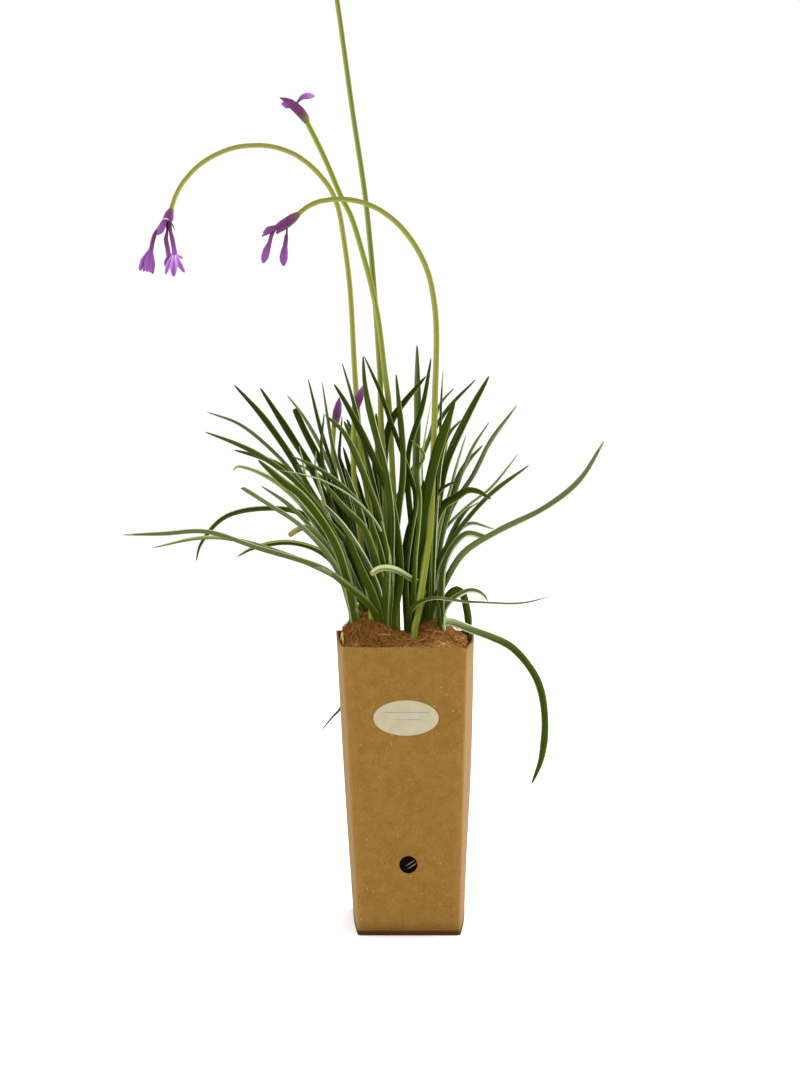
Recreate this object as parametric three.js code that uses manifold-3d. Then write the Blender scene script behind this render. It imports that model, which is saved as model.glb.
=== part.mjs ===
// Variegated society garlic in a tall kraft-board pot cover: millimetres, +Z up, the origin at the
// middle of the cover's base. The plant faces -Y.
import * as THREE from 'three';
import { mergeVertices } from 'three/addons/utils/BufferGeometryUtils.js';
import Module from 'manifold-3d';

const wasm = await Module();
wasm.setup();

// Pot cover
const COVER_HEIGHT = 200;
const WALL = 1.2;
const FOLD_RADIUS = 2;
const SMALLEST_FOLD = 0.5;
const FOLD_STEPS = [0, 0.5, 1];
const SIDE_STEPS = [0.25, 0.5, 0.75];
const SIDE_BOW = { ends: 1, middle: 1.8 };
const FLAT_SIDES = { ends: 0, middle: 0 };
const COVER_LEVELS = [0, 50, 100, 150, COVER_HEIGHT];
const BASE = { front: 70, back: 80, depth: 72, shift: 0 };
const TOP = { front: 85, back: 98, depth: 90, shift: -3.2 };
const HOLE = { x: -0.6, z: 49.7, diameter: 12.4, depth: 12, sides: 24 };
const LABEL = { x: -2.2, z: 151.4, width: 44, height: 24.3, thick: 0.3, gap: 0.25, sides: 40 };

// What fills it
const CLEARANCE = 0.3;
const POT_GAP = 0.5;
const POT_WALL = 1;
const POT_TOP = 184;
const POT_MIDDLE = 100;
const COMPOST_TOP = 189.7;
const MAT_UNDERSIDE = 190;
const MAT_EDGE_HEIGHT = 196;
const MAT_EDGE_DROP = 1.5;
const MAT_CENTRE = { x: -6, y: 0 };
const MAT_RINGS = [0.12, 0.27, 0.42, 0.57, 0.71, 0.84, 0.94, 1];
const ROOT_DEPTH = 180;
const MOUNDS = [
  { x: -33, y: -3, rise: 18, spread: 13 },
  { x: -19, y: -15, rise: 9.5, spread: 10 },
  { x: 19, y: -2, rise: 16, spread: 12 },
  { x: -6, y: 2, rise: 3, spread: 15 },
  { x: 36, y: 30, rise: -3.5, spread: 12 },
];

// How the photograph sees the plant: its eye, its downward pitch and its scale in pixels
const EYE = new THREE.Vector3(-6.28, -1300, 371.5);
const SIGHT_PITCH = THREE.MathUtils.degToRad(4.34);
const SIGHT_SCALE = 1886;
const SIGHT_CENTRE = [400, 533.5];

// Plant: the collar is the line at the mat's height from which every leaf and stalk spreads
const COLLAR = { left: -33, right: 24, z: 213 };
const LEAN_RADIUS = 160;
const LEAN_AT_COLLAR = 0.55;
const SHEATH = { radius: 4.6, foot: 4.2, top: 2.6, above: 3, taper: 9, sides: 8 };
const BLADE_THICKNESS = 1.1;
const THINNEST_SHARE = 0.5;
const CHANNEL = 0.09;
const KEEL_SHARE = 0.5;
const LEAF_STEP = 24;
const FEWEST_STEPS = 5;
const LEAF_COLLAR_RISE = 2;
const ROOT_RISE = 8;
const REAR_LEAF = { width: 6, turn: 12, parts: 5, start: 210 };
const STALK_STEP = 24;
const ARCH_STEP = 15;
const STALK_SIDES = 6;
const STALK_RADIUS = 2.2;
const STALK_COLLAR_RISE = 9;
const TEPALS = { count: 6, turn: 60, foot: 1.1, sink: 0.8, curl: 1.15, inner: 6, steps: 2 };
const SPATHE_SIDES = 6;
const SOIL_HOLE = { sides: 8, length: 60 };
const SLIVER = 0.03;
const WELD = 1e-4;

const v = (x, y, z) => new THREE.Vector3(x, y, z);
const mix = (a, b, t) => a + (b - a) * t;
const TEPAL_START = v(0.3, 1, 0.2);

// The point of the sight line through a pixel that lies at depth y
function sighted([px, py], y) {
  const across = (px - SIGHT_CENTRE[0]) / SIGHT_SCALE;
  const above = (SIGHT_CENTRE[1] - py) / SIGHT_SCALE;
  const cos = Math.cos(SIGHT_PITCH);
  const sin = Math.sin(SIGHT_PITCH);
  const ray = v(across, cos + above * sin, above * cos - sin);
  return EYE.clone().addScaledVector(ray, (y - EYE.y) / ray.y);
}

// How far a seen point stands from the collar, eased so that leaves leave it upright
function reach(pixel) {
  const at = sighted(pixel, 0);
  const beside = Math.max(0, COLLAR.left - at.x, at.x - COLLAR.right);
  const distance = Math.hypot(beside, at.z - COLLAR.z);
  const easing = mix(LEAN_AT_COLLAR, 1, Math.min(1, distance / LEAN_RADIUS));
  return distance * easing;
}

// Seen points pushed along their sight lines, by a lean that grows with the reach; a point with a
// third number lies at that depth
function leaned(seen, depth, lean) {
  return seen.map((pixel) => sighted(pixel, pixel[2] ?? depth + lean * reach(pixel)));
}

// A closed skin over rings of equal count, with a fan at each end
function loft(rings) {
  const sides = rings[0].length;
  const points = rings.flat();
  const faces = [];
  for (let i = 0; i + 1 < rings.length; i += 1) {
    for (let j = 0; j < sides; j += 1) {
      const k = (j + 1) % sides;
      const near = i * sides;
      const far = near + sides;
      faces.push(near + j, near + k, far + k);
      faces.push(near + j, far + k, far + j);
    }
  }
  for (const [ring, first, turned] of [[rings[0], 0, true], [rings.at(-1), points.length - sides, false]]) {
    const middle = ring.reduce((sum, p) => sum.add(p), v(0, 0, 0)).divideScalar(sides);
    points.push(middle);
    for (let j = 0; j < sides; j += 1) {
      const edge = [first + j, first + (j + 1) % sides];
      if (turned) {
        edge.reverse();
      }
      faces.push(edge[0], edge[1], points.length - 1);
    }
  }
  let volume = 0;
  for (let i = 0; i < faces.length; i += 3) {
    volume += points[faces[i]].dot(points[faces[i + 1]].clone().cross(points[faces[i + 2]]));
  }
  if (volume < 0) {
    faces.reverse();
  }
  const geometry = new THREE.BufferGeometry();
  const places = points.flatMap((p) => p.toArray());
  geometry.setAttribute('position', new THREE.Float32BufferAttribute(places, 3));
  geometry.setIndex(faces);
  return geometry;
}

function solid(geometry) {
  const bare = geometry.clone();
  bare.deleteAttribute('normal');
  bare.deleteAttribute('uv');
  const merged = mergeVertices(bare, WELD);
  return new wasm.Manifold(new wasm.Mesh({
    numProp: 3,
    vertProperties: merged.attributes.position.array,
    triVerts: Uint32Array.from(merged.index.array),
  }));
}

// The union as one body, with the small voids that it seals filled and its slivers taken out
function joined(geometries) {
  const union = geometries.map(solid).reduce((sum, part) => sum.add(part)).simplify(SLIVER);
  return union.decompose().reduce((most, part) => (part.volume() > most.volume() ? part : most));
}

function drawn(body) {
  const mesh = body.getMesh();
  const geometry = new THREE.BufferGeometry();
  geometry.setAttribute('position', new THREE.Float32BufferAttribute(mesh.vertProperties, 3));
  geometry.setIndex(Array.from(mesh.triVerts));
  geometry.computeVertexNormals();
  return geometry;
}

// A round bar through points, each with its own radius
function pod(points, radii, sides = SPATHE_SIDES) {
  const side = v(0, 1, 0);
  const rings = points.map((point, i) => {
    const along = points[Math.min(i + 1, points.length - 1)].clone().sub(points[Math.max(i - 1, 0)]);
    const across = side.clone().cross(along).normalize();
    const up = along.clone().cross(across).normalize();
    return Array.from({ length: sides }, (_, j) => {
      const angle = 2 * Math.PI * j / sides;
      return point.clone()
        .addScaledVector(across, radii[i] * Math.cos(angle))
        .addScaledVector(up, radii[i] * Math.sin(angle));
    });
  });
  return loft(rings);
}

// Pot cover, inner pot and filling: four-sided outlines with round folds and bowed side panels
function outline(height, inset, bow = SIDE_BOW) {
  const t = height / COVER_HEIGHT;
  const front = mix(BASE.front, TOP.front, t) / 2 - inset;
  const back = mix(BASE.back, TOP.back, t) / 2 - inset;
  const depth = mix(BASE.depth, TOP.depth, t) / 2 - inset;
  const shift = mix(BASE.shift, TOP.shift, t);
  const rounding = Math.max(FOLD_RADIUS - inset, SMALLEST_FOLD);
  const bulge = mix(bow.ends, bow.middle, Math.sin(Math.PI * t));
  const corners = [[-front, -depth], [front, -depth], [back, depth], [-back, depth]];
  const points = [];
  corners.forEach(([x, y], i) => {
    const [nextX, nextY] = corners[(i + 1) % 4];
    const start = -Math.PI + i * Math.PI / 2;
    for (const part of FOLD_STEPS) {
      const angle = start + part * Math.PI / 2;
      const inX = x - Math.sign(x) * rounding;
      const inY = y - Math.sign(y) * rounding;
      points.push([inX + rounding * Math.cos(angle), inY + rounding * Math.sin(angle)]);
    }
    for (const part of SIDE_STEPS) {
      const swell = bulge * Math.sin(Math.PI * part) * (i % 2);
      points.push([mix(x, nextX, part) + Math.sign(x) * swell, mix(y, nextY, part)]);
    }
  });
  return points.map(([x, y]) => v(x + shift, y, height));
}

function cover() {
  const outside = COVER_LEVELS.map((z) => outline(z, 0));
  const inside = COVER_LEVELS.map((z) => outline(Math.max(z, WALL), WALL)).reverse();
  const hole = new THREE.CylinderGeometry(HOLE.diameter / 2, HOLE.diameter / 2, HOLE.depth, HOLE.sides);
  hole.translate(HOLE.x, -mix(BASE.depth, TOP.depth, HOLE.z / COVER_HEIGHT) / 2, HOLE.z);
  return drawn(solid(loft([...outside, ...inside])).subtract(solid(hole)));
}

function innerPot() {
  const inset = WALL + POT_GAP;
  const floor = WALL + CLEARANCE;
  const outside = [floor, POT_MIDDLE, POT_TOP].map((z) => outline(z, inset, FLAT_SIDES));
  const inner = [POT_TOP, POT_MIDDLE, floor + POT_WALL];
  const inside = inner.map((z) => outline(z, inset + POT_WALL, FLAT_SIDES));
  return loft([...outside, ...inside]);
}

function compost() {
  const inset = WALL + POT_GAP + POT_WALL + CLEARANCE;
  const floor = WALL + CLEARANCE + POT_WALL + CLEARANCE;
  return loft([floor, POT_MIDDLE, COMPOST_TOP].map((z) => outline(z, inset, FLAT_SIDES)));
}

function matHeight(x, y) {
  return MOUNDS.reduce((z, mound) => {
    const square = (x - mound.x) ** 2 + (y - mound.y) ** 2;
    return z + mound.rise * Math.exp(-square / (2 * mound.spread ** 2));
  }, MAT_EDGE_HEIGHT);
}

function coirMat() {
  const rim = outline(MAT_EDGE_HEIGHT, WALL + POT_GAP);
  const under = outline(MAT_UNDERSIDE, WALL + POT_GAP);
  const rings = MAT_RINGS.map((size) => rim.map((edge) => {
    const x = mix(MAT_CENTRE.x, edge.x, size);
    const y = mix(MAT_CENTRE.y, edge.y, size);
    return v(x, y, matHeight(x, y) - (size === 1 ? MAT_EDGE_DROP : 0));
  }));
  return loft([...rings, under]);
}

function label() {
  const slope = Math.atan((TOP.depth - BASE.depth) / 2 / COVER_HEIGHT);
  const panel = -mix(BASE.depth, TOP.depth, LABEL.z / COVER_HEIGHT) / 2;
  const oval = new THREE.CylinderGeometry(1 / 2, 1 / 2, LABEL.thick, LABEL.sides);
  oval.scale(LABEL.width, 1, LABEL.height);
  oval.rotateX(slope);
  oval.translate(LABEL.x, panel - (LABEL.thick / 2 + LABEL.gap) / Math.cos(slope), LABEL.z);
  return oval;
}

// Leaf blades: a shallow channel above, a keel below, the widest stretch in the middle
const LEAF_SHAPE = { tip: 0.1, full: 0.2, foot: 0.82 };
const BLUNT_SHAPE = { tip: 0.8, full: 0.04, foot: 0.82 };
const TEPAL_SHAPE = { tip: 0.25, full: 0.45, foot: 0.35 };

function bladeWidth(t, { tip, full, foot }) {
  return t < full ? mix(tip, 1, Math.sqrt(t / full)) : mix(1, foot, (t - full) / (1 - full));
}

function blade(path, { width, turn = 0, shape = LEAF_SHAPE, sideways = null, fewest = FEWEST_STEPS }) {
  const curve = new THREE.CatmullRomCurve3(path, false, 'centripetal');
  const steps = Math.max(fewest, Math.round(curve.getLength() / LEAF_STEP));
  const angle = THREE.MathUtils.degToRad(turn);
  const rings = [];
  for (let i = 0; i <= steps; i += 1) {
    const t = i / steps;
    const point = curve.getPointAt(t);
    const along = curve.getTangentAt(t);
    const flat = sideways
      ? sideways.clone().addScaledVector(along, -sideways.dot(along)).normalize()
      : point.clone().sub(EYE).cross(along).normalize();
    flat.applyAxisAngle(along, angle);
    const up = along.clone().cross(flat).normalize();
    const size = bladeWidth(t, shape);
    const half = width * size / 2;
    const lift = width * size * CHANNEL;
    const body = BLADE_THICKNESS * Math.max(size, THINNEST_SHARE) / 2;
    rings.push([
      point.clone().addScaledVector(flat, -half).addScaledVector(up, lift),
      point.clone().addScaledVector(up, -body),
      point.clone().addScaledVector(flat, half).addScaledVector(up, lift),
      point.clone().addScaledVector(up, body - lift * KEEL_SHARE),
    ]);
  }
  return loft(rings);
}

// A leaf whose path the photograph hides: it rises from its shoot and bends over with its length
function bentPath([x, y], { heading, start, bend, length }) {
  const across = THREE.MathUtils.degToRad(heading);
  const path = [v(x, y, ROOT_DEPTH + ROOT_RISE)];
  const at = v(x, y, REAR_LEAF.start);
  for (let i = 0; i <= REAR_LEAF.parts; i += 1) {
    path.unshift(at.clone());
    const tilt = THREE.MathUtils.degToRad(start + bend * (i / REAR_LEAF.parts) ** 2);
    const step = length / REAR_LEAF.parts;
    at.add(v(
      step * Math.sin(tilt) * Math.cos(across),
      step * Math.sin(tilt) * Math.sin(across),
      step * Math.cos(tilt),
    ));
  }
  return path;
}

function sheath([x, y]) {
  const top = matHeight(x, y) + SHEATH.above;
  const points = [ROOT_DEPTH, top, top + SHEATH.taper].map((z) => v(x, y, z));
  return pod(points, [SHEATH.foot, SHEATH.radius, SHEATH.top], SHEATH.sides);
}

// Each leaf: its midrib as seen, tip first, its lean, width and turn about the midrib (degrees)
const SHOOTS = {
  shoot_left_front: {
    place: [-33, -9],
    leaves: [
      {
        lean: -0.20, width: 5.5, turn: 45,
        seen: [[237, 557], [252, 549], [288, 543], [318, 551], [338, 569], [350, 592], [356, 612]],
      },
      {
        lean: -0.30, width: 5.0, turn: 45, blunt: true,
        seen: [[289, 536], [300, 529], [308, 528], [325, 544], [344, 578]],
      },
      {
        lean: -0.45, width: 5.5, turn: 55, blunt: true,
        seen: [[242, 488], [267, 504], [300, 526], [332, 562]],
      },
      { lean: -0.60, width: 6.5, turn: 30, seen: [[252, 457], [284, 483], [301, 496], [335, 545]] },
      {
        lean: -0.40, width: 6.0, turn: 50,
        seen: [[205, 432], [238, 445], [263, 458], [300, 487], [338, 545]],
      },
      {
        lean: -0.30, width: 5.5, turn: 65,
        seen: [[207, 412], [240, 425], [276, 455], [297, 479], [335, 535]],
      },
      { lean: -0.24, width: 5.5, turn: 50, seen: [[300, 505], [320, 530], [336, 560], [347, 590]] },
    ],
  },
  shoot_left_back: {
    place: [-34, 5],
    leaves: [
      {
        lean: 0.10, width: 5.5, turn: 55,
        seen: [[196, 561], [201, 544], [224, 518], [262, 509], [301, 514], [335, 545]],
      },
      { lean: 0.00, width: 5.5, turn: 60, seen: [[261, 486], [288, 505], [315, 533], [342, 575]] },
      {
        lean: -0.05, width: 6.0, turn: 50,
        seen: [[233, 471], [237, 467], [267, 477], [297, 501], [330, 550]],
      },
      { lean: 0.05, width: 5.5, turn: 55, seen: [[234, 450], [267, 460], [295, 477], [332, 530]] },
      {
        lean: 0.20, width: 6.5, turn: 42,
        seen: [[234, 385], [263, 418], [294, 463], [304, 483], [338, 550]],
      },
      { lean: 0.30, width: 6.5, turn: 42, seen: [[260, 388], [293, 440], [313, 473], [342, 545]] },
    ],
  },
  shoot_left_middle: {
    place: [-24, -4],
    leaves: [
      {
        lean: 0.05, width: 6.5, turn: 42, blunt: true,
        seen: [[294, 409], [305, 433], [320, 463], [348, 540]],
      },
      { lean: 0.10, width: 5.0, turn: 65, seen: [[287, 395], [304, 418], [326, 459], [352, 530]] },
      { lean: 0.08, width: 5.0, turn: 65, seen: [[308, 379], [320, 429], [325, 445], [350, 525]] },
      { lean: 0.00, width: 5.0, turn: 60, seen: [[322, 382], [329, 429], [332, 445], [353, 520]] },
      { lean: -0.02, width: 5.0, turn: 65, seen: [[324, 413], [321, 450], [330, 500], [352, 560]] },
      { lean: 0.02, width: 5.0, turn: 60, seen: [[299, 446], [302, 460], [311, 505], [340, 565]] },
      { lean: -0.02, width: 5.0, turn: 60, seen: [[316, 451], [315, 465], [326, 510], [350, 570]] },
      { lean: 0.10, width: 5.0, turn: 60, seen: [[342, 416], [340, 437], [339, 459], [355, 540]] },
      { lean: 0.12, width: 4.5, turn: 65, seen: [[349, 426], [350, 440], [352, 460], [362, 540]] },
      { lean: -0.02, width: 6.0, turn: 50, seen: [[332, 470], [342, 505], [354, 550], [364, 590]] },
      { lean: 0.05, width: 6.0, turn: 50, seen: [[343, 447], [352, 480], [362, 520], [368, 570]] },
    ],
  },
  shoot_centre_front: {
    place: [-17, -14],
    leaves: [
      {
        lean: -0.45, width: 5.0, turn: 50,
        seen: [
          [123, 535], [163, 534], [206, 532], [257, 548], [325, 570], [345, 585, -27], [360, 597, -24],
          [370, 606, -21], [378, 618, -17],
        ],
      },
      {
        lean: -0.38, width: 4.5, turn: 55,
        seen: [[152, 548], [204, 538], [244, 542], [299, 560], [345, 583, -25], [366, 602, -22]],
      },
      {
        lean: -0.28, width: 6.5, turn: 45,
        seen: [[334, 384], [347, 406], [370, 452], [389, 496], [391, 560]],
      },
      { lean: -0.20, width: 5.0, turn: 60, seen: [[342, 363], [352, 398], [362, 440], [380, 520]] },
      {
        lean: -0.30, width: 6.0, turn: 35,
        seen: [[363, 356], [364, 378], [367, 400], [374, 430], [384, 468], [390, 510], [390, 560]],
      },
      { lean: -0.36, width: 5.5, turn: 50, seen: [[292, 456], [326, 474], [360, 505], [386, 548]] },
      {
        lean: -0.44, width: 4.5, turn: 80,
        seen: [[275, 470], [300, 474], [330, 484], [364, 508], [386, 545]],
      },
      { lean: -0.42, width: 5.0, turn: 55, seen: [[319, 499], [352, 538], [378, 590]] },
      { lean: -0.34, width: 6.0, turn: 45, seen: [[325, 415], [343, 432], [361, 469], [380, 525]] },
      {
        lean: 0, width: 5.5, turn: 45,
        seen: [
          [396, 374, -36], [397.5, 392, -35], [400, 420, -33], [402.5, 450, -31], [402, 478, -28],
          [399, 505, -25], [395, 535, -22], [390, 575, -18],
        ],
      },
      {
        lean: -0.46, width: 5.0, turn: 45, blunt: true,
        seen: [[379.5, 521], [385, 545], [390, 578], [390, 600]],
      },
      { lean: -0.40, width: 5.0, turn: 50, seen: [[363, 495], [372, 525], [381, 553], [386, 590]] },
      {
        lean: -0.32, width: 6.5, turn: 45,
        seen: [[330, 505], [345, 535], [360, 568, -28], [374, 600, -22]],
      },
    ],
  },
  shoot_left_rear: {
    place: [-18, 16],
    leaves: [
      {
        lean: 0.20, width: 5.5, turn: 45,
        seen: [
          [454, 388], [440, 404], [429, 438], [421, 457], [412, 475], [404, 488], [398, 502], [395, 525],
          [391, 560],
        ],
      },
      {
        lean: 0.32, width: 5.5, turn: 50,
        seen: [[476, 379], [447, 409], [428, 440], [414, 466], [402, 488], [395, 505], [390, 540]],
      },
      {
        lean: 0, width: 5.5, turn: 30,
        seen: [
          [426, 376, -27], [404, 402, -29], [393, 417, -31], [388, 430, -27.5], [385, 447, -20],
          [383.5, 475, -9], [383, 520, 4], [383, 570, 12],
        ],
      },
      { lean: 0.10, width: 6.5, turn: 45, seen: [[372, 452], [376, 490], [380, 545], [384, 590]] },
      { lean: 0.02, width: 6.0, turn: 45, seen: [[390, 470], [392, 510], [391, 565]] },
      {
        lean: 0, width: 4.0, turn: 60,
        seen: [
          [321.5, 731, 62], [331, 719, 61], [341, 708, 60], [352, 680, 58], [359, 650, 55], [362, 626, 48],
          [366, 610, 36], [374, 603, 24],
        ],
      },
    ],
    hidden: [
      { heading: 140, start: 20, bend: 80, length: 150 },
      { heading: 115, start: 12, bend: 60, length: 160 },
      { heading: 90, start: 18, bend: 80, length: 155 },
      { heading: 128, start: 6, bend: 45, length: 150 },
      { heading: 100, start: 5, bend: 30, length: 150 },
    ],
  },
  shoot_right_front: {
    place: [1, -7],
    leaves: [
      {
        lean: 0, width: 4.5, turn: 50,
        seen: [
          [364, 356, -38], [372.5, 375, -37], [380, 392, -36], [388, 415, -35], [396, 437, -27],
          [405, 462, -21], [411, 480, -18], [415, 494, -17], [414, 530, -12], [411, 575, -9],
        ],
      },
      {
        lean: 0, width: 7.5, turn: 25,
        seen: [
          [455, 400, -46], [444, 430, -41], [436, 453, -37], [429.5, 480, -33], [424, 510, -25],
          [420, 540, -18], [415, 575, -12],
        ],
      },
      {
        lean: 0, width: 4.5, turn: 20, blunt: true,
        seen: [
          [371, 574.5, -36], [378, 569.5, -34], [386, 568, -31], [396, 570, -26], [408, 577, -18],
          [419, 584, -10], [423, 595, -4.5], [419, 612, -5],
        ],
      },
      {
        lean: -0.08, width: 5.5, turn: 50,
        seen: [[431, 358], [422, 406], [409, 447], [407, 480], [413, 550]],
      },
      {
        lean: -0.50, width: 4.0, turn: 55,
        seen: [[411, 440], [424, 455], [418, 470], [420, 500], [418, 530], [415, 560]],
      },
      {
        lean: -1.00, width: 4.0, turn: 78,
        seen: [
          [549, 597], [520, 603], [480, 602], [463, 601], [448, 598.7], [432, 597.5, -25],
          [420, 601.5, -24], [411, 609, -20], [408.5, 620, -12],
        ],
      },
      {
        lean: -0.14, width: 6.0, turn: 45,
        seen: [[424, 480], [416, 507], [407.5, 532], [403.5, 556], [405, 590]],
      },
      {
        lean: -0.34, width: 4.0, turn: 60,
        seen: [[417, 478], [417, 500], [412, 530], [407, 565], [406, 590]],
      },
    ],
  },
  shoot_right_middle: {
    place: [12, -4],
    leaves: [
      {
        lean: 0.05, width: 5.0, turn: 65,
        seen: [[443, 371], [441, 399], [439, 466], [438, 503], [432, 570]],
      },
      {
        lean: 0.10, width: 6.5, turn: 40,
        seen: [[489, 376], [467, 416], [447, 460], [438, 500], [431, 560]],
      },
      { lean: -0.02, width: 5.5, turn: 35, seen: [[461, 420], [449, 433], [441, 453], [434, 520]] },
      { lean: 0.12, width: 6.0, turn: 40, seen: [[417, 345], [417, 424], [416, 454], [418, 530]] },
      { lean: 0.02, width: 4.5, turn: 80, seen: [[431, 400], [425, 435], [422, 460], [424, 530]] },
      {
        lean: 0.02, width: 6.5, turn: 30,
        seen: [[491, 499], [478, 491], [467, 490], [455.5, 497], [444, 504], [436, 518], [430, 560]],
      },
      { lean: -0.05, width: 5.0, turn: 45, seen: [[459, 482], [449, 484], [437, 494], [430, 540]] },
      { lean: 0.15, width: 5.5, turn: 50, seen: [[529, 465], [489, 495], [456, 533], [436, 567]] },
      {
        lean: -0.25, width: 6.0, turn: 48,
        seen: [[604, 441], [579, 480], [545, 507], [497, 531], [463, 553], [443, 585], [432, 606]],
      },
      { lean: -0.08, width: 5.5, turn: 50, seen: [[437, 462], [434, 505], [429, 545], [426, 590]] },
    ],
  },
  shoot_right_outer: {
    place: [22, -12],
    leaves: [
      {
        lean: -0.15, width: 6.8, turn: 25,
        seen: [
          [532, 784], [542, 757], [545, 715], [537, 679], [513, 648], [492, 637], [470, 629], [456, 623],
          [447, 621.5], [442, 624],
        ],
      },
      {
        lean: 0.30, width: 5.0, turn: 45,
        seen: [[488, 601], [484, 595], [478, 591], [469, 590], [458, 595], [448, 603], [443, 613]],
      },
      {
        lean: 1.30, width: 6.0, turn: 30,
        seen: [[468, 640], [469, 624], [467, 608], [463, 594], [457, 589.5], [449, 595], [443, 608]],
      },
      {
        lean: 0.10, width: 5.5, turn: 50, blunt: true,
        seen: [[489, 538], [467, 533], [454, 544], [444, 564], [441, 585]],
      },
      { lean: -0.30, width: 4.0, turn: 30, seen: [[437.5, 597], [438, 606], [438.5, 615]] },
    ],
  },
  shoot_right_rear: {
    place: [14, 16],
    leaves: [
      {
        lean: 0.30, width: 5.0, turn: 70,
        seen: [[518, 454], [490, 488], [466, 507], [441, 535], [434, 575]],
      },
      {
        lean: 0.42, width: 5.5, turn: 58,
        seen: [[517, 405], [490, 441], [472, 476], [450, 510], [437, 560]],
      },
      { lean: 0.25, width: 5.0, turn: 70, seen: [[489, 422], [471, 450], [453, 498], [438, 555]] },
      { lean: 0.20, width: 4.5, turn: 80, seen: [[466, 435], [458, 460], [450, 489], [436, 545]] },
      { lean: 0.15, width: 5.0, turn: 60, seen: [[494, 529], [470, 523], [455, 535], [436, 575]] },
    ],
    hidden: [
      { heading: 78, start: 14, bend: 65, length: 165 },
      { heading: 48, start: 16, bend: 75, length: 160 },
      { heading: 20, start: 22, bend: 80, length: 150 },
      { heading: 65, start: 6, bend: 40, length: 155 },
    ],
  },
};

function shoot({ place, leaves, hidden = [] }) {
  const root = v(place[0], place[1], ROOT_DEPTH + ROOT_RISE);
  const collar = v(place[0], place[1], matHeight(...place) + LEAF_COLLAR_RISE);
  const parts = [sheath(place)];
  for (const leaf of leaves) {
    const path = [...leaned(leaf.seen, place[1], leaf.lean), collar, root];
    parts.push(blade(path, { ...leaf, shape: leaf.blunt ? BLUNT_SHAPE : LEAF_SHAPE }));
  }
  for (const leaf of hidden) {
    const across = THREE.MathUtils.degToRad(leaf.heading + 90);
    const sideways = v(Math.cos(across), Math.sin(across), 0);
    parts.push(blade(bentPath(place, leaf), { ...REAR_LEAF, sideways }));
  }
  return drawn(joined(parts));
}

// Stalks: the top first, as seen, with the lean and the radius at the top
const STALKS = {
  stalk_a: {
    place: [-10, 8], lean: 0, radius: 1.6,
    seen: [
      [325, -62, -24], [331, -35, -24], [337, 0, -24], [353, 114, -25], [365, 194, -26], [371.3, 255, -27],
      [375, 300, -27], [376.5, 320, -27], [380.3, 380, -28], [381, 420, -31], [383, 450, -31],
      [384, 475, -27], [386, 520, -13], [389, 570, 0],
    ],
  },
  stalk_b: {
    place: [-8, -7], lean: -0.10, radius: 1.7,
    seen: [
      [306, 120], [321, 150], [330, 170], [340, 194], [351, 216], [364, 258, -38], [371, 284, -38],
      [378, 318, -37], [384.5, 370, -35], [387, 388, -33], [388.6, 400, -28.5], [391, 440, -19],
      [394, 500, -14], [397, 580, -9],
    ],
  },
  stalk_c: {
    place: [-19, 3], lean: 0.05, radius: 1.6, step: ARCH_STEP,
    seen: [
      [170.8, 210], [175, 197], [181.7, 184], [191.7, 171.7], [203.3, 161.7], [216.7, 154], [233.3, 147.7],
      [250, 145.2], [264, 145.3], [278.3, 147.8], [295, 154.3], [308.3, 163.5], [319.2, 174], [330, 188],
      [338, 207], [344, 240], [350, 288], [355, 375], [361, 450], [366, 485], [374, 540],
    ],
  },
  stalk_d: {
    place: [4, -16], lean: -0.12, radius: 1.6, step: ARCH_STEP,
    seen: [
      [298, 214], [306, 207.5], [317.5, 201.8], [329.5, 199.5], [345, 199], [365, 203], [385, 213],
      [403, 229], [418, 250], [428, 272], [434, 300], [436.5, 330], [435, 400], [434, 440], [432.5, 480],
      [431, 519], [426.5, 558], [420.5, 597], [416.5, 622],
    ],
  },
  stalk_e: {
    place: [-29, 13], lean: 0.20, radius: 1.7,
    seen: [[334, 426], [333, 452], [340, 500], [353, 560]],
  },
  stalk_f: {
    place: [-26, -14], lean: -0.05, radius: 1.8,
    seen: [[354.5, 411], [353.5, 460], [356, 500], [361, 540], [368.5, 592]],
  },
};

function stalkPath({ place, lean, seen }) {
  const levels = [matHeight(...place) + STALK_COLLAR_RISE, ROOT_DEPTH + 2 * ROOT_RISE, ROOT_DEPTH];
  return [...leaned(seen, place[1], lean), ...levels.map((z) => v(place[0], place[1], z))];
}

function stalk(spec, spare = 0) {
  const curve = new THREE.CatmullRomCurve3(stalkPath(spec), false, 'centripetal');
  const steps = Math.round(curve.getLength() / (spec.step ?? STALK_STEP));
  const points = curve.getSpacedPoints(steps);
  const radii = points.map((_, i) => mix(spec.radius, STALK_RADIUS, Math.min(1, 2 * i / steps)) + spare);
  return pod(points, radii, STALK_SIDES);
}

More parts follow.
